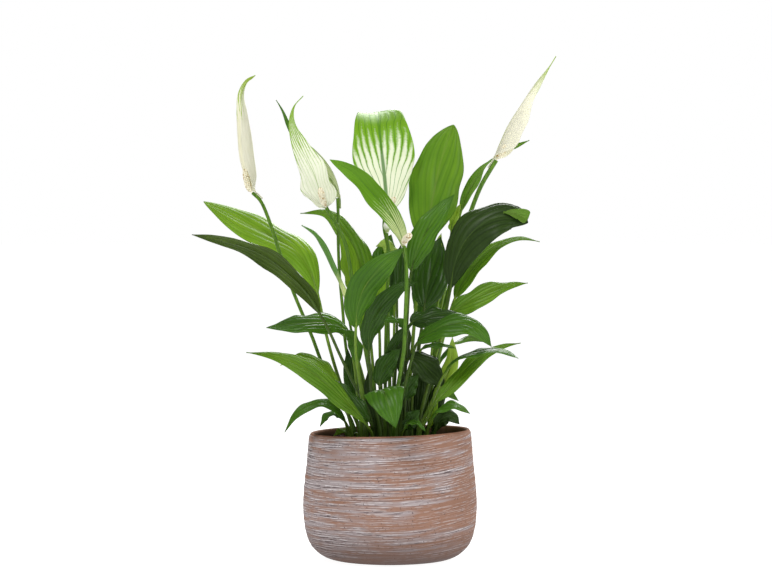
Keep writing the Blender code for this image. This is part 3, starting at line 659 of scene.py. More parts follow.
# %% Leaves in front
FRONT_LEAVES = {
    1: drawn(
        (-4, -42), ((-5, -48, 128),),
        ((-6, -55, 142), (-7, -64, 149), (-5, -76, 147), (-1, -88, 136), (5, -98, 117)),
        16, (-0.3, 0, 1), "deep", "green", quilt=0.3),
    2: drawn(
        (-19, -30), ((-25, -34, 150), (-29, -38, 180)),
        ((-29, -41, 202), (-28, -44, 218), (-23, -47, 234), (-12, -50, 249), (12, -52, 270)),
        14, (0.5, -1, 0.2), "green"),
    3: drawn(
        (-8, -25), ((-16, -27, 148), (-17, -30, 168)),
        ((-18, -32, 182), (-18, -33, 198), (-12, -35, 213), (-3, -36, 226), (9, -37, 236),
         (23, -38, 241)),
        9, (0.3, -1, 0.4), "deep"),
    4: drawn(
        (-7, -6), ((-14, -10, 150), (-20, -12, 185)),
        ((-20, -13, 200), (-17, -14, 216), (-10, -15, 233), (-3, -16, 246)),
        8, (0, -1, 0.3), "fresh"),
    5: drawn(
        (9, -42), (),
        ((13, -46, 116), (18, -50, 124), (25, -54, 132)),
        7, (0, -1, 0.6), "deep"),
    6: drawn(
        (8, -12), ((9, -17, 150), (12, -18, 185)),
        ((14, -18, 199), (9, -18, 207), (2, -19, 209), (-9, -20, 208)),
        5, (0, -0.6, 1), "green"),
    7: drawn(
        (-3, -14), ((-4, -20, 140),),
        ((-3, -23, 160), (1, -25, 182), (8, -27, 196), (20, -28, 206)),
        5, (0.6, -1, 0.3), "deep"),
    8: drawn(
        (1, -21), ((-4, -26, 135),),
        ((-9, -30, 153), (-6, -31, 165), (0, -32, 175), (9, -33, 184)),
        9, (0, -1, 0.5), "deep"),
}
make_leaves("front", FRONT_LEAVES)

# %% [markdown]
# ## Leaves in the centre
#
# The tallest leaf stands upright with the light behind it. Darker ones cross in front of it.

# %% Leaves in the centre
CENTRE_LEAVES = {
    1: drawn(
        (12, 12), ((17, 15, 160), (22, 17, 220), (27, 18, 255)),
        ((29, 18, 275), (33, 18, 296), (37.5, 18, 318), (43, 18, 343), (54, 17, 374)),
        22.5, (0, -1, 0.15), "fresh", "grown", taper=0.75),
    2: drawn(
        (10, -4), ((13, -7, 160), (15, -9, 215)),
        ((18, -10, 250), (23, -10, 268), (31, -10, 284), (41, -10, 299), (54.5, -9, 315)),
        11, (0.2, -1, 0.3), "deep", "green"),
    3: drawn(
        (15, 1), ((20, 2, 150), (26, 3, 195)),
        ((29, 5, 219), (32, 6, 236), (36, 7, 254), (43, 8, 279)),
        16, (0, -1, 0.2), "deep"),
}
make_leaves("centre", CENTRE_LEAVES)

# %% [markdown]
# ## Leaves on the right
#
# Broad dark leaves hang over on the right, with two that glow against the light below them.

# %% Leaves on the right
RIGHT_LEAVES = {
    1: drawn(
        (22, -6), ((33, -6, 150), (43, -7, 192)),
        ((51, -10, 234), (56, -12, 259), (68, -13, 281), (88, -14, 294.5), (104, -14, 296.5),
         (117, -15, 291)),
        22, (-0.4, -1, 0.9), "deep", "dark", swell=1.0, taper=0.8),
    2: drawn(
        (28, 8), ((38, 12, 160), (47, 14, 200)),
        ((55, 15, 227), (66, 15, 247), (80, 15, 264), (95, 14, 274), (110, 13, 278), (127, 12, 275)),
        11.5, (-0.3, -0.5, 1), "green", "grown", taper=1.4),
    3: drawn(
        (24, -14), ((34, -11, 160), (44, -13, 195)),
        ((53, -15, 215), (64, -16, 222.5), (79, -17, 230.5), (96, -18, 237), (117, -19, 240)),
        13, (-0.2, -0.9, 1), "green", "grown", swell=0.55, taper=1.3),
    4: drawn(
        (9, -19), ((10, -22, 150), (13, -24, 190)),
        ((18, -22, 206), (29, -22, 210), (46, -23, 213), (62, -24, 212)),
        11, (0, -0.9, 1), "deep", swell=0.5),
    5: drawn(
        (5, -28), ((12, -33, 150), (19, -35, 177)),
        ((23, -38, 189), (36, -42, 199), (50, -45, 204.5), (65, -47, 205), (77, -48, 198),
         (86, -49, 186)),
        14.5, (-0.1, -1, 1.3), "deep", "green"),
    6: drawn(
        (31, -6), ((36, -5, 125),),
        ((41, -4, 142), (46, -3, 155), (52, -2, 172), (53, -1, 194)),
        7, (-0.3, -1, 0.2), "fresh", "pale"),
    7: drawn(
        (25, -24), ((36, -27, 140),),
        ((47, -30, 164), (55, -33, 174), (68, -37, 179.5), (84, -41, 183), (97, -44, 182),
         (109, -46, 176)),
        13, (0, -0.2, 1), "green"),
    8: drawn(
        (23, -36), ((32, -37, 125),),
        ((39, -36, 139), (51, -33, 151.5), (64, -26, 166), (79, -17, 179), (95, -11, 186),
         (111, -6, 189)),
        8, (-0.5, -1, 0.6), "fresh", "grown", taper=1.3),
    10: drawn(
        (14, -27), (),
        ((13, -28, 140), (17, -29, 153), (24, -29, 162)),
        7, (0.2, -1, 0.3), "deep"),
    11: drawn(
        (31, -34), (),
        ((36, -40, 125), (45, -46, 134.5), (56, -50, 136), (68, -52, 129)),
        8, (0, -0.5, 1), "green"),
    12: drawn(
        (37, -26), (),
        ((39.5, -27, 117), (44, -29, 124.5), (51, -31, 127), (59, -33, 120)),
        7, (0, -1, 0.6), "deep", "dark"),
    13: drawn(
        (21, 19), ((34, 24, 170), (47, 30, 235), (56, 34, 280)),
        ((60, 36, 300), (65, 37, 315), (72, 38, 328), (81, 39, 340), (95, 40, 350.5), (118, 41, 361)),
        5.5, (-0.5, -1, 0.4), "green", "grown", twist=200),
}
make_leaves("right", RIGHT_LEAVES)

# %% [markdown]
# ## Shoots
#
# Some leaves stand in shoots of two or three, whose stems come from one point. Two shoots are in the
# middle and on the right. The others are on the far side, and keep the plant full from behind and above.

# %% Shoots
SHOOTS = {
    "leaf_centre_4": (
        drawn(
            (0, 18), ((-1, 24, 180), (-2, 28, 225)),
            ((-4, 29, 244), (-4, 31, 258), (-3, 33, 270), (1, 35, 281)),
            11, (0, -1, 0.5), "green"),
        drawn(
            (1.6, 18), ((5, 16, 170), (6, 12, 212)),
            ((6, 12, 228), (7, 12, 242), (8, 12, 256), (9, 12, 272)),
            8, (0, -1, 0.3), "deep")),
    "leaf_right_9": (
        drawn(
            (17, -15), ((15, -13, 150),),
            ((16, -16, 176), (24, -18, 174), (35, -21.5, 164), (46, -24, 152)),
            13, (0, -1, 0.8), "deep", "dark"),
        drawn(
            (18.4, -14.6), ((19.5, -11.5, 150), (23, -10, 172)),
            ((27, -16, 184), (36, -19, 187), (46, -20, 187), (56, -20, 184.5)),
            3.5, (0, -0.8, 1), "green")),
    "shoot_back_1": (
        drawn(
            (12, 28), ((20, 24, 160),),
            ((28, 26, 208), (33, 38, 228), (37, 54, 236), (40, 68, 230), (42, 78, 212)),
            17, (0, 0.6, 1), "green"),
        drawn(
            (13.6, 28.5), ((34, 32, 150),),
            ((42, 36, 172), (53, 44, 187), (66, 52, 193), (82, 58, 190)),
            9, (-0.4, 0.3, 1), "green")),
    "shoot_back_2": (
        drawn(
            (-6, 26), ((-8, 30, 160),),
            ((-9, 34, 200), (-10, 44, 226), (-12, 56, 238), (-14, 68, 234), (-15, 78, 218)),
            17, (0, 0.6, 1), "green"),
        drawn(
            (-7.6, 26.5), ((-20, 32, 150),),
            ((-30, 38, 182), (-42, 46, 200), (-55, 54, 206), (-72, 60, 200)),
            12, (0.4, 0.3, 1), "green")),
    "shoot_back_3": (
        drawn(
            (3, 37), (),
            ((4, 44, 122), (5, 58, 137), (6, 76, 143), (6, 94, 136), (6, 108, 120)),
            15, (0, 0.6, 1), "green"),
        drawn(
            (1.4, 36.6), (),
            ((-8, 44, 126), (-22, 56, 143), (-36, 70, 148), (-50, 82, 138)),
            13, (0.3, 0.4, 1), "green"),
        drawn(
            (4.6, 36.6), (),
            ((16, 44, 126), (30, 56, 144), (44, 70, 150), (58, 80, 140)),
            13, (-0.3, 0.4, 1), "green")),
}
for node, leaves in SHOOTS.items():
    for n, (line, looks) in enumerate(leaves):
        make_leaf(f"fine_{node}_{n}", node, *line, **looks)
print("leaves in shoots:", sum(len(leaves) for leaves in SHOOTS.values()))

# %% [markdown]
# ## Young leaves inside
#
# Between the stems a peace lily is dense: young leaves unroll there, and small ones under the big ones
# have the dark tone, as painted shade. They are too small for the plain model, so they stand for none
# of its solids.

# %% Young leaves inside
INNER_LEAVES = (
    drawn(
        (-21, -4), ((-25, -4, 125),),
        ((-28, -4, 135), (-31, -4, 150), (-34, -4, 166), (-36, -4, 184)),
        7, (0.3, -1, 0.2), "deep"),
    drawn(
        (6, 4), ((7, 4, 150),),
        ((9, 4, 162), (11, 4, 178), (13, 4, 194), (14, 4, 210)),
        6, (0.2, -1, 0.2), "deep", "dark"),
    drawn(
        (19, 4), (),
        ((21, 3, 118), (24, 3, 138), (26, 3, 158), (27, 3, 176)),
        7, (-0.2, -1, 0.2), "deep", "dark"),
    drawn(
        (29, 5), (),
        ((33, 4, 120), (38, 4, 134), (42, 4, 150), (45, 4, 168)),
        7, (-0.3, -1, 0.3), "deep", "dark"),
    drawn(
        (33, -14), (),
        ((36, -16, 113), (40, -18, 120), (43, -19, 128), (43.5, -19, 135)),
        4, (0, -1, 0.4), "deep", "dark"),
    drawn(
        (9, -49), (),
        ((12, -52, 116), (17, -54, 122), (24, -56, 121), (30, -57, 114)),
        3.5, (0, -0.6, 1), "green"),
    drawn(
        (-10, 15), ((-19, 14, 170), (-27, 13, 212)),
        ((-31, 13, 231), (-33, 13, 248), (-36, 13, 265), (-42, 13, 284)),
        8, (-0.3, -1, 0.2), "fresh"),
    drawn(
        (3, 22), ((3, 25, 170), (4, 27, 230)),
        ((4, 28, 258), (1, 28, 267), (-5, 28, 273), (-12, 28, 271)),
        6, (0, -1, 0.7), "fresh", "pale"),
    drawn(
        (26, 6), ((33, 8, 160), (40, 9, 220)),
        ((45, 9, 253), (42, 9, 262), (41, 9, 272), (43.5, 9, 282)),
        4.5, (-0.6, -1, 0.1), "fresh", "pale"),
    drawn(
        (23, 14), ((34, 18, 170), (46, 22, 235), (51, 24, 272)),
        ((52, 24, 284), (53, 24, 292), (56, 24, 299), (60, 24, 307)),
        4, (-0.4, -1, 0.3), "fresh", "pale"),
    drawn(
        (30, -20), (),
        ((33, -21, 116), (36, -21, 128), (38, -21, 140), (38.5, -21, 151)),
        3.5, (-0.3, -1, 0.1), "fresh"),
    drawn(
        (-28, -5), (),
        ((-33, -8, 111), (-38, -9, 114.5), (-43, -10, 114), (-48, -10, 110)),
        4, (0, -0.6, 1), "fresh"),
    drawn(
        (2, -18), (),
        ((3, -22, 120), (5, -24, 136), (8, -25, 150), (12, -26, 163)),
        6, (0.3, -1, 0.2), "deep", "dark"),
    drawn(
        (-10, -10), (),
        ((-12, -12, 118), (-15, -13, 132), (-18, -14, 148), (-19, -14, 164)),
        6, (-0.2, -1, 0.2), "deep", "dark"),
)
for number, (line, looks) in enumerate(INNER_LEAVES, 1):
    make_leaf(f"young_leaf_inner_{number}", None, *line, **looks)
print("inner leaves:", len(INNER_LEAVES))

# %% [markdown]
# ## A turned tip
#
# The tip of the big dark leaf on the right is bent up and shows its paler side. It is a short blade of
# its own, broad at its end.

# %% A turned tip
TURNED_TIP = ((96, -14, 300), (103, -15, 299.5), (110, -16, 297.5), (117, -17, 294.5))
TURNED_HALF = 6.5
tip_path = smooth_path([front_view(*p) for p in TURNED_TIP])
tip_faces = Vector((0.1, -1, 0.4)).normalized()
dull = LEAF_FACES["grown"][1]
turned_tip = make_blade("turned_leaf_tip", tip_path, 0.0, TURNED_HALF, tip_faces, (dull, dull),
                        fine=SMALL_GRID, swell=1.0, taper=0.15, curl=0.3, wave=0.3, frill=0.3, quilt=0.0)
place_on_plant(turned_tip, None)
print("turned tip:", [round(d / MM) for d in turned_tip.dimensions], "mm")

# %% [markdown]
# ## Finishes of the flower heads
#
# A spathe is a leaf that turned white. A young one is still green at its tip and rim and along its
# veins, and the green bleeds out from there. So the pattern asks how near a point is to a vein, adds how
# green that part of the spathe still is, and draws green where the sum is high, with noise to break up
# its edge. At the very tip the green closes to a mottled crown. The veins leave the midrib low down and
# fan out: a vein is where the share of the width, over a number that grows towards the tip and less a
# slant, keeps one value, and noise makes it wander. A deep green midrib runs up from the foot and thins
# out. The spadix is cream, with tan where its flowers have opened.
#
# Each row gives a tone's cream, its shade, its green and the colour of its ribs, how strong the veins
# are, how green the lines and the rim are, the shares of the length where the green of the tip begins
# and is full, the one where the midrib ends, and how much light passes through.

# %% Finishes of the flower heads
FAN = 5.0
FAN_OPENS = 0.7
FAN_RISE = 0.6
CLOUD = 9.0
WANDER = 24.0
SPECKLE = 1.8
SPATHE_TONES = {
    "ivory": ("#f2f0e2", "#e9e8d6", "#a9c24e", "#cfd896", 0.0, -0.45, 0.3, 0.55, 1.0, 0.4, 0.4),
    "streaked": ("#f4f4e9", "#e9ecd9", "#97ba45", "#8fb048", 0.5, -0.1, 0.4, 0.35, 0.95, 0.25, 0.42),
    "veined": ("#f3f4e6", "#e6ebcf", "#86b826", "#4a8522", 0.8, 0.05, 0.5, 0.3, 0.66, 0.6, 0.35),
    "green": ("#dfe6b8", "#c6d48a", "#6ea021", "#4d7a28", 0.5, 0.25, 0.6, 0.2, 0.6, 0.5, 0.35),
    "dark": ("#cdd6a4", "#b4c484", "#4f7f1c", "#3f6a22", 0.4, 0.2, 0.5, 0.35, 0.7, 0.6, 0.3),
}


def spathe_finish(name, cream, shade, green, rib, veins, lines, rim, tip, full, spine_to, share):
    """Spathe with green along its veins, rim and tip, and a midrib that thins out at a length share."""
    finish, put = new_finish(name)
    length, side = blade_places(put)[:2]
    grown = put("TexCoord", out="Object")
    cloud = put("TexNoise", Vector=grown, Scale=1000 / CLOUD, Detail=2.0)
    wander = put("TexNoise", Vector=grown, Scale=1000 / WANDER, Detail=1.0)
    grain = put("TexNoise", Vector=grown, Scale=1000 / SPECKLE, Detail=3.0)
    opened = put("Math", length, FAN_OPENS, operation="ADD")
    spread = put("Math", side, opened, operation="DIVIDE")
    lead = put("Math", length, -FAN_RISE, spread, operation="MULTIPLY_ADD")
    astray = put("Math", wander, 0.2, lead, operation="MULTIPLY_ADD")
    veer = put("Math", cloud, 0.05, astray, operation="MULTIPLY_ADD")
    swing = put("Math", waves_along(put, veer, math.pi * FAN), operation="ABSOLUTE")
    fine = waves_along(put, veer, math.pi * FAN * 4)

    top = put("MapRange", length, tip, full, lines, 1.6)
    edge = put("MapRange", side, 0.78, 1.0, 0.0, rim)
    near = put("Math", put("Math", top, edge, operation="ADD"), swing, operation="SUBTRACT")
    finer = put("Math", fine, -0.05, near, operation="MULTIPLY_ADD")
    bled = put("MapRange", put("Math", grain, 0.7, finer, operation="MULTIPLY_ADD"), 0.15, 0.75)
    clouded = put("Math", cloud, 0.35, length, operation="MULTIPLY_ADD")
    mottled = put("Math", grain, 0.45, clouded, operation="MULTIPLY_ADD")
    crown = put("MapRange", mottled, full + 0.28, full + 0.5, 0.0, 0.9)
    tinge = put("Math", bled, crown, operation="MAXIMUM")
    rib_edge = put("MapRange", length, 0.0, spine_to, 0.1, 0.005)
    from_rib = put("Math", side, rib_edge, operation="SUBTRACT")
    spine = put("MapRange", from_rib, 0.0, 0.03, 0.8, 0.0)
    line = put("MapRange", swing, 0.0, 0.28, veins, 0.0)
    ribbed = put("Math", spine, line, operation="MAXIMUM")
    tinged = put("Mix", tinge, put("Mix", cloud, cream, shade, **COLOURS), green, **COLOURS)
    colour = put("Mix", ribbed, tinged, rib, **COLOURS)
    bump = put("Bump", Height=swing, Strength=0.2, Distance=LEAF_RELIEF * MM)
    end_finish(put, colour, bump, 0.5, 0.3, colour, share)
    return finish


def floret_finish():
    """Waxy cream flowers, tan where they have opened."""
    finish, put = new_finish("cream_florets")
    cloud = put("TexNoise", Vector=put("TexCoord", out="Object"), Scale=1000 / 2.5, Detail=2.0)
    colour = put("Mix", put("MapRange", cloud, 0.52, 0.7), "#ece6cc", "#b3924a", **COLOURS)
    end_finish(put, colour, None, 0.55)
    return finish


SPATHE_FACES = {tone: spathe_finish(tone + "_spathe", *look) for tone, look in SPATHE_TONES.items()}
FLORETS = floret_finish()
print("flower head finishes:", [face.name for face in (*SPATHE_FACES.values(), FLORETS)])

# %% [markdown]
# ## Flower heads
#
# A stalk ends in a spadix, and the spathe grows from the side of the stalk just below it, so each
# spathe begins as a narrow strip on the stalk and then opens round the spadix. The spadix is a soft
# core studded with flowers. One flower is modelled, as a small ball pressed flat on top, and copies of
# it are set round the core a golden angle apart, the way the plant sets its own.

# %% Flower heads
SPATHE_SKIN = 0.4
SPATHE = dict(wave=0.8, waves=2.0, frill=1.0, quilt=0.25)
STRIP_BACKS = (9.0, 5.0, 1.0)
STRIP_SEAT = 1.25
GOLDEN_ANGLE = math.radians(137.5)
SPADIX_RADIUS = 2.3
SPADIX_END = 0.4
SPADIX_NECK = 2.5
CORE_RADIUS = 2.1
CORE_END = 0.7
FLORET = 0.95
FLORET_HEIGHT = 0.75
FLORETS_PER_MM = 5.2
BLOOMS = {
    "bloom_1": dict(
        foot=(-30, 2), radius=1.5,
        stalk=((-42, 6, 140), (-57, 10, 170), (-66, 12, 194), (-74.4, 12, 214), (-83, 12, 235),
               (-92, 12, 261), (-103.6, 12.4, 296), (-110, 12.6, 310), (-116.5, 13, 316.5)),
        spathe=((-113.5, 13.8, 331), (-115.5, 13.1, 347), (-118, 11.7, 366), (-121.5, 10.3, 386),
                (-124, 9.4, 399), (-121, 8.8, 410), (-114, 8.5, 416)),
        half=13, faces=(-1, -0.35, 0), fold=0.5, curl=1.2, swell=0.45, taper=0.85,
        spadix=(-123, 12, 336), slot="spathe_ivory", tone="ivory"),
    "bloom_2": dict(
        foot=(-9, -14), radius=1.5,
        stalk=((-14, -17, 150), (-22, -20, 195), (-32, -22, 242), (-36.7, -22, 269),
               (-40.5, -22, 280), (-46, -22, 290.6), (-51, -22, 299), (-54, -22, 304)),
        spathe=((-59, -17, 316), (-63.5, -15, 330), (-70, -14, 344), (-78, -14, 360),
                (-83, -14, 374), (-81.5, -14, 389), (-73.5, -14, 398.5)),
        half=14, faces=(0.1, -1, 0.15), fold=0.2, curl=0.35, swell=0.45, taper=1.9,
        frill=4.0, ragged=0.35, wave=1.6, waves=2.6, quilt=0.5,
        spadix=(-59, -26, 320), slot="spathe_ivory", tone="streaked"),
    "bloom_3": dict(
        foot=(-20, 0), radius=1.3,
        stalk=((-28, 3, 140), (-33, 4, 160), (-38, 5, 190), (-40, 6, 215), (-43, 6, 250),
               (-44, 5, 280), (-44, 4, 300), (-44.5, 3.5, 312)),
        spathe=((-44, 6.5, 322), (-48, 6, 333), (-55, 6, 344), (-65, 6, 354), (-75, 5, 362),
                (-84, 4, 374), (-90, 3, 385), (-96.5, 2, 395)),
        half=9, faces=(-0.8, -0.6, -0.6), fold=0.9, curl=0.5, swell=0.5, taper=1.1,
        spadix=None, slot="spathe_green", tone="dark"),
    "bloom_4": dict(
        foot=(22, 5), radius=1.9,
        stalk=((33, 9, 160), (44, 12, 210), (54, 13, 250), (62, 13.2, 280), (69, 12.8, 302),
               (77.3, 12.2, 322.6), (85, 12.4, 336), (90, 12.3, 344)),
        spathe=((93, 13.4, 358), (100, 12.6, 373), (108, 11.6, 386), (116, 10.7, 398),
                (126, 9.8, 410), (135, 9.1, 423), (140.5, 8.8, 432)),
        half=16, faces=(0.8, -0.6, -0.45), fold=0.6, curl=1.7, swell=0.7, taper=2.2,
        frill=1.0, ragged=0.25, twist=110,
        spadix=(98.4, 11.2, 357), slot="spathe_ivory", tone="ivory"),
    "bloom_5": dict(
        foot=(-4, 6), radius=1.5,
        stalk=((-4, 7, 160), (-3, 8, 215), (-1.5, 9, 269), (-5, 10, 288), (-4, 9, 299)),
        spathe=((-3, 13, 309), (-4.5, 14, 328), (-7, 15, 350), (-9, 18, 370), (-10, 27, 381.5),
                (-11, 42, 385)),
        half=27, faces=(0, -1, 0.5), fold=0.1, curl=0.35, swell=0.7, taper=0.95,
        wave=2.4, waves=1.8, frill=4.5, ragged=0.22, quilt=0.6,
        spadix=(4, 4, 312), slot="spathe_green", tone="veined"),
    "bloom_6": dict(
        foot=(3, -36), radius=1.6,
        stalk=((5, -46, 140), (8, -49, 160), (11.6, -50, 182), (13, -50, 210), (14, -48, 251),
               (13, -44, 264), (12, -41, 271)),
        spathe=((9.5, -36, 280), (4.5, -34, 291), (-6, -32, 306), (-18.5, -30, 320),
                (-32, -29, 334), (-51, -28, 344.5)),
        half=10, faces=(0.3, -1, -0.2), fold=0.35, curl=0.5, swell=0.75, taper=0.85,
        frill=2.5, ragged=0.2,
        spadix=(17, -46, 281), slot="spathe_green", tone="green"),
}


def make_stalk(name, node, foot, stalk, radius):
    """Round flower stalk of one thickness."""
    path = smooth_path(planted(foot, stalk), 2)
    tube = make_tube(name, path, [radius] * len(path), STALK)
    place_on_plant(tube, node)
    return path


def model_floret():
    """One flower of a spadix, pressed flat on top, to copy."""
    select()
    bpy.ops.mesh.primitive_ico_sphere_add(subdivisions=2, radius=FLORET * MM)
    floret = bpy.context.object
    bpy.ops.object.mode_set(mode="EDIT")
    bpy.ops.mesh.select_all(action="SELECT")
    bpy.ops.transform.resize(value=(1.0, 1.0, FLORET_HEIGHT))
    bpy.ops.object.mode_set(mode="OBJECT")
    floret.data.materials.append(FLORETS)
    bpy.ops.object.shade_smooth()
    return floret


def copied(model):
    """A copy of a piece, with a mesh of its own, in the scene."""
    piece = model.copy()
    piece.data = model.data.copy()
    bpy.context.scene.collection.objects.link(piece)
    return piece


def plump(s):
    """How far a spadix is swollen at share s of its length, from 0 at its ends to 1 in the middle."""
    return max(1 - (2 * s - 1) ** 4, 0.0) ** 0.5


def make_spadix(name, node, spine):
    """Core with flowers set round it on a spiral."""
    path = smooth_path(spine)
    run = distances(path)
    foot = run[PATH_STEPS]
    span = run[-1] - foot
    shares = [min(max((along - foot) / span, 0.0), 1.0) for along in run]
    radii = [CORE_END + (CORE_RADIUS - CORE_END) * plump(s) for s in shares]
    pieces = [make_tube(name + "_core", path, radii, FLORETS, sides=3)]
    model = model_floret()
    count = round(span * FLORETS_PER_MM)
    hint = Vector((0.1, -1, 0.2)).normalized()
    for k in range(count):
        s = (k + 0.5) / count
        place, way, across, above = frame_at(path, run, foot + span * s, hint)
        turn = k * GOLDEN_ANGLE
        out = across * math.cos(turn) + above * math.sin(turn)
        floret = copied(model)
        floret.location = (place + out * (SPADIX_END + (SPADIX_RADIUS - SPADIX_END) * plump(s))) * MM
        floret.rotation_euler = out.to_track_quat("Z", "Y").to_euler()
        pieces.append(floret)
    bpy.data.objects.remove(model)
    place_on_plant(join(pieces, name), node)


def make_bloom(name, foot, radius, stalk, spathe, half, faces, spadix, slot, tone, **shape):
    """Flower head: stalk, spathe and spadix."""
    path = make_stalk(f"fine_{name}_stalk", name + "_stalk", foot, stalk, radius)
    run = distances(path)
    hollow = Vector(faces).normalized()
    strip = []
    for back in STRIP_BACKS:
        place, way, across, above = frame_at(path, run, run[-1] - back, hollow)
        strip.append(place - above * (radius + STRIP_SEAT))
    line = smooth_path(strip + [front_view(*p) for p in spathe])
    face = SPATHE_FACES[tone]
    blade = make_blade(f"fine_{name}_spathe", line, 0.0, half, hollow, (face, face), strip=STRIP_BACKS[0],
                       skin=SPATHE_SKIN, **(SPATHE | shape))
    place_on_plant(blade, name + "_spathe")
    if spadix:
        spine = [path[-1], path[-1] + way * SPADIX_NECK, front_view(*spadix)]
        make_spadix(f"fine_{name}_spadix", name + "_spadix", spine)


for name, bloom in BLOOMS.items():
    make_bloom(name, **bloom)
print("flower heads:", len(BLOOMS))

# %% [markdown]
# ## A rolled spathe and a bud
#
# One flower head is still rolled up, pale at its foot and green at its tip, and one is a white bud. Both
# are tubes whose radius swells and shrinks along a line. The rolled one shares its solid with its stalk.

# %% A rolled spathe and a bud
THIN_STALK = 1.1
ROLLED_FOOT = (-14, -9)
ROLLED_STALK = ((-22, -9, 150), (-31, -9, 190), (-35, -9, 212), (-36.5, -9, 224))
ROLLED_HEAD = ((-38, -9, 231), (-42, -9, 241), (-48, -9, 254), (-56, -9, 271), (-64, -9, 282),
               (-75, -9, 289))
ROLLED_RADII = (THIN_STALK, 2.4, 1.8, 2.4, 2.6, 1.7, 0.5)
ROLLED_TURNS = (228, 250)
BUD_FOOT = (1, -6)
BUD_STALK = ((0, -6, 160), (-2, -6, 215), (-2, -6, 269), (-2.5, -6, 282.5))
BUD = ((-2.6, -6, 282.9), (-2.2, -6, 288), (-1, -6, 293), (0.5, -6, 298))
BUD_RADII = (1.4, 3.6, 3.1, 0.5)
BUD_TURNS = (280, 286)


def eased(values):
    """Values at every fine point of a path, eased from each drawn point to the next."""
    out = [values[0]]
    for low, high in zip(values, values[1:]):
        for k in range(1, PATH_STEPS + 1):
            t = k / PATH_STEPS
            out.append(low + (high - low) * (3 * t ** 2 - 2 * t ** 3))
    return out


def bud_finish(name, below, above, turns):
    """Waxy skin that turns from one colour to another between two heights, with long streaks."""
    finish, put = new_finish(name)
    grown = put("TexCoord", out="Object")
    streak = grains(put, grown, (1.5, 1.5, 14.0), 3.0)
    turned = put("MapRange", put("SeparateXYZ", grown, out=2), turns[0] * MM, turns[1] * MM)
    broken = put("Math", streak, 0.5, turned, operation="MULTIPLY_ADD")
    colour = put("Mix", put("MapRange", broken, 0.2, 1.1), below, above, **COLOURS)
    bump = put("Bump", Height=streak, Strength=0.4, Distance=FIBRE_RELIEF * MM)
    end_finish(put, colour, bump, 0.45)
    return finish


ROLLED_SKIN = bud_finish("rolled_spathe_skin", "#c9d489", "#4f7f2a", ROLLED_TURNS)
BUD_SKIN = bud_finish("white_bud_skin", "#93a85a", "#f4f3ea", BUD_TURNS)

path = smooth_path(planted(ROLLED_FOOT, ROLLED_STALK + ROLLED_HEAD), 2)
radii = eased([THIN_STALK] * (len(ROLLED_STALK) + 1) + list(ROLLED_RADII))
split = (len(ROLLED_STALK) + 1) * PATH_STEPS
parts = [make_tube("rolled_stalk", path[:split + 1], radii[:split + 1], STALK),
         make_tube("rolled_head", path[split:], radii[split:], ROLLED_SKIN, sides=4)]
place_on_plant(join(parts, "fine_rolled_bloom"), "rolled_bloom")

make_stalk("fine_bud_stalk", "bud_stalk", BUD_FOOT, BUD_STALK, THIN_STALK)
bud = make_tube("fine_bud", smooth_path([front_view(*p) for p in BUD]), eased(BUD_RADII), BUD_SKIN, sides=5)
place_on_plant(bud, "bud")
print("rolled head and bud made")

# %% [markdown]
# ## The pot
#
# The pot is thrown, so it is drawn as one ring after another. A disc is the foot, and its edge is
# extruded up the outer wall, over the lip and down the inner wall to the floor, a step at a time,
# moved and resized to the profile.

# %% Pot
POT_HEIGHT = 110.0
POT_OUTSIDE = ((38, 0), (53, 2.6), (62.4, 8), (68.8, 16.5), (72.4, 29), (73.8, 45), (73.1, 62),
               (71, 82), (69.4, 101), (68.6, 107.5), (67, POT_HEIGHT))
POT_INSIDE = ((65.2, 109.2), (64.6, 104), (66.6, 80), (68.4, 45), (62, 18), (46, 7))
POT_AROUND = 210
POT_STEP = 0.5


def pot_profile():
    """Radius and height at even steps up the outer wall, then coarsely over the lip and down inside."""
    path = smooth_path([Vector((r, 0.0, z)) for r, z in POT_OUTSIDE])
    run = distances(path)
    outside = []
    count = round(run[-1] / POT_STEP)
    for k in range(count + 1):
        place = frame_at(path, run, min(run[-1] * k / count, run[-1]), Vector((0, 1, 0)))[0]
        outside.append((place.x, place.z))
    inside = smooth_path([Vector((r, 0.0, z)) for r, z in (outside[-1], *POT_INSIDE)])
    return outside, [(p.x, p.z) for p in inside[3::3]]


def turn_rings(name, around, profile):
    """A closed body of rings: a disc whose edge is extruded from one radius and height to the next."""
    radius, height = profile[0]
    select()
    bpy.ops.mesh.primitive_circle_add(vertices=around, radius=radius * MM, fill_type="NGON",
                                      location=(0, 0, height * MM))
    body = bpy.context.object
    body.name = name
    bpy.ops.object.transform_apply(location=True, rotation=False, scale=False)
    bpy.ops.object.mode_set(mode="EDIT")
    bpy.ops.mesh.select_all(action="SELECT")
    bpy.ops.mesh.flip_normals()
    bpy.ops.mesh.region_to_loop()
    for (low_r, low_z), (high_r, high_z) in zip(profile, profile[1:]):
        bpy.ops.mesh.extrude_edges_move(TRANSFORM_OT_translate={"value": (0, 0, (high_z - low_z) * MM)})
        share = high_r / low_r
        bpy.ops.transform.resize(value=(share, share, 1.0), center_override=(0, 0, high_z * MM))
    bpy.ops.mesh.edge_face_add()
    bpy.ops.mesh.select_all(action="SELECT")
    bpy.ops.mesh.normals_make_consistent(inside=False)
    bpy.ops.object.mode_set(mode="OBJECT")
    return body


outside, inside = pot_profile()
pot = turn_rings("fine_pot", POT_AROUND, outside + inside)
print("pot rings:", len(outside + inside), "faces:", len(pot.data.polygons))

# %% [markdown]
# ## Comb marks
#
# While the clay was soft, a comb was drawn round it. The strokes are long and thin, nearly level on the
# left and climbing towards the right. `course` is the height at which a stroke that passes here began:
# it is kept on the mesh as an attribute, so that the finish can follow the same strokes. Two noises
# that are squeezed hard along it move the wall in and out by a fraction of a millimetre: broad swells
# about 5 mm high, and strokes of under 2 mm. The top of the pot slants a little, as on the real one.

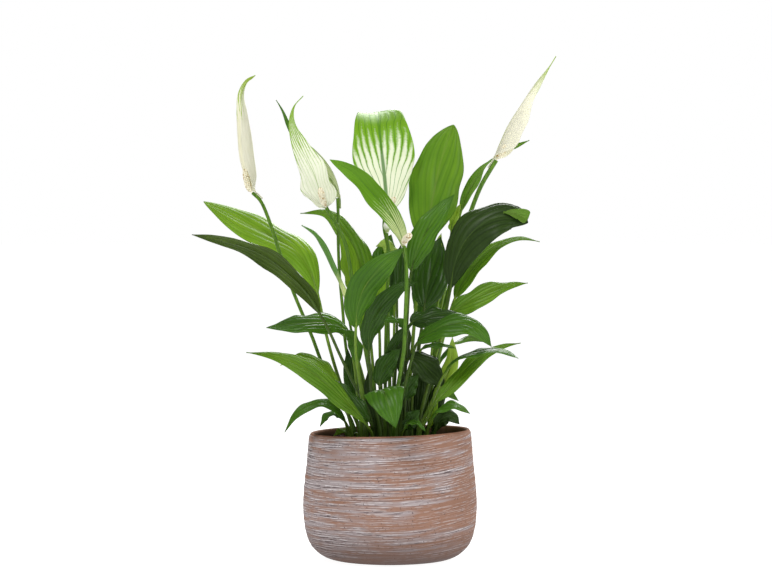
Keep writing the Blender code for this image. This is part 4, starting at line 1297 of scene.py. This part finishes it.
# %% Comb marks and the slanted lip
RIM_SLANT = 0.026
CLIMB = 0.0011
CLIMB_FROM = -10
COMB_DEPTH = 0.4
MARKS_FROM = 0.5
MARKS_FADE = (8, 3)
SWELL_LONG = 70
SWELL_HIGH = 5
STROKE_LONG = 24
STROKE_HIGH = 1.5
WALL_POINTS = len(outside) * POT_AROUND


def comb(x, y, begun):
    """How far the comb and the fingers moved the wall out here, from about -1 to 1."""
    broad = noise.noise(Vector((x / SWELL_LONG, y / SWELL_LONG, begun / SWELL_HIGH)))
    strokes = noise.noise(Vector((x / STROKE_LONG + 7, y / STROKE_LONG, begun / STROKE_HIGH)))
    return 0.8 * broad + 0.6 * strokes


course = pot.data.attributes.new("course", "FLOAT", "POINT")
heights = []
for corner in pot.data.vertices:
    x, y, z = (c / MM for c in corner.co)
    begun = z - CLIMB * max(x - CLIMB_FROM, 0) ** 2
    course.data[corner.index].value = begun
    if corner.index < WALL_POINTS and z > MARKS_FROM:
        heights.append(comb(x, y, begun))
        ends = max(min(z / MARKS_FADE[0], (POT_HEIGHT - z) / MARKS_FADE[1], 1.0), 0.0)
        share = 1 + COMB_DEPTH * heights[-1] * ends / math.hypot(x, y)
        corner.co.x *= share
        corner.co.y *= share
    corner.co.z += corner.co.x * RIM_SLANT * (max(z, 0) / POT_HEIGHT) ** 3
print("comb marks from", round(min(heights), 2), "to", round(max(heights), 2))

# %% [markdown]
# ## The finish of the pot
#
# The clay is unglazed, and was brushed with a thin greyish white wash. It lies in bands about 5 mm high,
# more of it on the left than on the right. In the bands, hair lines under 1 mm thick stay white, and
# the groove under each is painted dark as shade: the same noise is read twice, the second time a little
# higher up, and a finer one tears both into dashes. Small pits are painted dark as shade, and the foot
# is painted darker as shade too. The lip and the inside are bare brown clay.

# %% Pot finish
HAIR_SIZES = (34, 34, 0.85)
CLAY_RELIEF = 0.5
BARE_LIP = 1.2
SMOOTH_UNDER = math.radians(50)


def pot_finish():
    """Combed clay with a worn white wash, and painted shade in its grooves and pits and at its foot."""
    finish, put = new_finish("whitewashed_combed_clay")
    x, y, up = put("SeparateXYZ", put("TexCoord", out="Object")).node.outputs
    round_x = put("Math", x, 1000.0, operation="MULTIPLY")
    round_y = put("Math", y, 1000.0, operation="MULTIPLY")
    begun = put("Attribute", attribute_name="course", out="Fac")
    stroke = put("CombineXYZ", round_x, round_y, begun)
    band = grains(put, stroke, (80, 80, 4.4), 1.0, unit=1)
    patch = grains(put, stroke, (25, 25, 14), 2.0, unit=1)
    hair = grains(put, stroke, HAIR_SIZES, 1.4, unit=1)
    under = grains(put, stroke, HAIR_SIZES, 1.4, unit=1, lift=1.0)
    torn = grains(put, stroke, (5, 5, 1.3), 1.0, unit=1)
    speck = put("TexNoise", Vector=stroke, Scale=1 / 1.6, Detail=1.0)

    mixed = put("Math", patch, 0.5, band, operation="MULTIPLY_ADD")
    wash = put("MapRange", put("Math", x, -1.4, mixed, operation="MULTIPLY_ADD"), 0.67, 0.9)
    bare = put("Mix", patch, "#9c7968", "#85614f", **COLOURS)
    washed = put("Mix", wash, bare, "#9f9393", **COLOURS)
    often = put("MapRange", wash, To_Min=0.35)
    kept = put("MapRange", torn, 0.4, 0.54, 0.2, 1.0)
    there = put("Math", often, kept, operation="MULTIPLY")
    line = put("Math", put("MapRange", hair, 0.5, 0.6), there, operation="MULTIPLY")
    brushed = put("Mix", line, washed, "#d4cccd", **COLOURS)
    # painted shade: dark lines in the groove under each white hair line, and dark pits
    cut = put("Math", put("MapRange", under, 0.53, 0.6, 0.0, 0.9), there, operation="MULTIPLY")
    pit = put("MapRange", speck, 0.68, 0.72, 0.0, 0.7)
    groove_shaded = put("Mix", put("Math", cut, pit, operation="MAXIMUM"), brushed, "#463536", **COLOURS)
    # painted shade: the foot darkens towards the floor
    foot = put("MapRange", up, 2.0 * MM, 36.0 * MM, 0.9, 0.0)
    colour = put("Mix", foot, groove_shaded, "#54443f", **COLOURS)
    deep = put("Math", hair, band, operation="ADD")
    bump = put("Bump", Height=deep, Strength=0.9, Distance=CLAY_RELIEF * MM)
    end_finish(put, colour, bump, 0.88, 0.2)
    return finish


def bare_clay_finish():
    """Bare brown clay, as on the lip, painted darker down inside as shade."""
    finish, put = new_finish("bare_brown_clay")
    grown = put("TexCoord", out="Object")
    cloud = put("TexNoise", Vector=grown, Scale=1000 / 8.0, Detail=4.0)
    clay = put("Mix", cloud, "#9a705a", "#74503f", **COLOURS)
    # painted shade: the inner wall darkens down towards the soil
    inner_shade = put("MapRange", put("SeparateXYZ", grown, out=2), 102 * MM, 109 * MM, 0.8, 0.0)
    colour = put("Mix", inner_shade, clay, "#453d33", **COLOURS)
    bump = put("Bump", Height=cloud, Strength=0.5, Distance=CLAY_RELIEF * MM)
    end_finish(put, colour, bump, 0.9, 0.2)
    return finish


pot.data.materials.append(pot_finish())
pot.data.materials.append(bare_clay_finish())
for face in pot.data.polygons:
    top = face.center.z / MM - face.center.x / MM * RIM_SLANT
    bare = max(face.vertices) >= WALL_POINTS or top > POT_HEIGHT - BARE_LIP
    face.material_index = 1 if bare else 0
select(pot)
bpy.ops.object.shade_smooth_by_angle(angle=SMOOTH_UNDER)
place_on_plant(pot, "pot")
print("pot:", [round(d / MM, 1) for d in pot.dimensions], "mm")

# %% [markdown]
# ## The soil
#
# Potting soil is dark, crumbly peat. Its top is a round grid, heaped a little in the middle and made
# uneven by noise at two sizes, with crumbs lying on it: one small ball is dented, copied, turned and
# scattered by a seeded random row, which gives the same soil each time.

# %% Soil finish and surface
SOIL_RADIUS = 64.0
SOIL_RIM = 101.5
SOIL_DEPTH = 8
SOIL_HEAP = 3.0
SOIL_AROUND = 120
SOIL_RINGS = 40


def soil_finish():
    """Moist dark peat with paler fibres."""
    finish, put = new_finish("moist_peat")
    grown = put("TexCoord", out="Object")
    peat = put("TexNoise", Vector=grown, Scale=1000 / 2.5, Detail=6.0, Roughness=0.7)
    colour = put("Mix", put("MapRange", peat, 0.4, 0.7), "#1f1610", "#4a3526", **COLOURS)
    bump = put("Bump", Height=peat, Strength=1.0, Distance=1.0 * MM)
    end_finish(put, colour, bump, 0.95, 0.2)
    return finish


def soil_height(x, y):
    """Height of the soil's top: a low heap that is rough at two sizes."""
    heap = SOIL_HEAP * (1 - (math.hypot(x, y) / SOIL_RADIUS) ** 2)
    rough = noise.noise(Vector((x, y, 3)) / 9) * 1.4 + noise.noise(Vector((x, y, 9)) / 3) * 0.8
    return SOIL_RIM + heap + rough


PEAT = soil_finish()
rings = [(SOIL_RADIUS * k / SOIL_RINGS, SOIL_RIM) for k in range(SOIL_RINGS, 0, -1)]
soil = turn_rings("fine_soil", SOIL_AROUND, [(SOIL_RADIUS, SOIL_RIM - SOIL_DEPTH)] + rings)
soil.data.materials.append(PEAT)
for corner in soil.data.vertices:
    x, y, z = (c / MM for c in corner.co)
    if z > SOIL_RIM - 1:
        corner.co.z = soil_height(x, y) * MM
bpy.ops.object.shade_smooth()
print("soil faces:", len(soil.data.polygons))

# %% Crumbs
CRUMBS = 420
CRUMB_MARGIN = 2.5
CRUMB_LEAST = 0.5
CRUMB_GROWTH = 1.1
CRUMB_TURN = 6.28

noise.seed_set(7)
select()
bpy.ops.mesh.primitive_ico_sphere_add(subdivisions=2, radius=1.0 * MM)
crumb = bpy.context.object
for corner in crumb.data.vertices:
    corner.co *= 1 + 0.35 * noise.noise(corner.co / MM * 1.3)
crumb.data.materials.append(PEAT)
crumbs = [soil]
for k in range(CRUMBS):
    reach = (SOIL_RADIUS - CRUMB_MARGIN) * noise.random() ** 0.5
    turn = 2 * math.pi * noise.random()
    x, y = reach * math.cos(turn), reach * math.sin(turn)
    size = CRUMB_LEAST + CRUMB_GROWTH * noise.random() ** 2
    piece = copied(crumb)
    piece.location = (x * MM, y * MM, (soil_height(x, y) + 0.2 * size) * MM)
    piece.scale = (size, size * 0.8, size * 0.7)
    piece.rotation_euler = [CRUMB_TURN * noise.random() for axis in range(3)]
    crumbs.append(piece)
bpy.data.objects.remove(crumb)
soil = join(crumbs, "fine_soil")
place_on_plant(soil, "soil")
print("soil with crumbs:", len(soil.data.polygons), "faces")
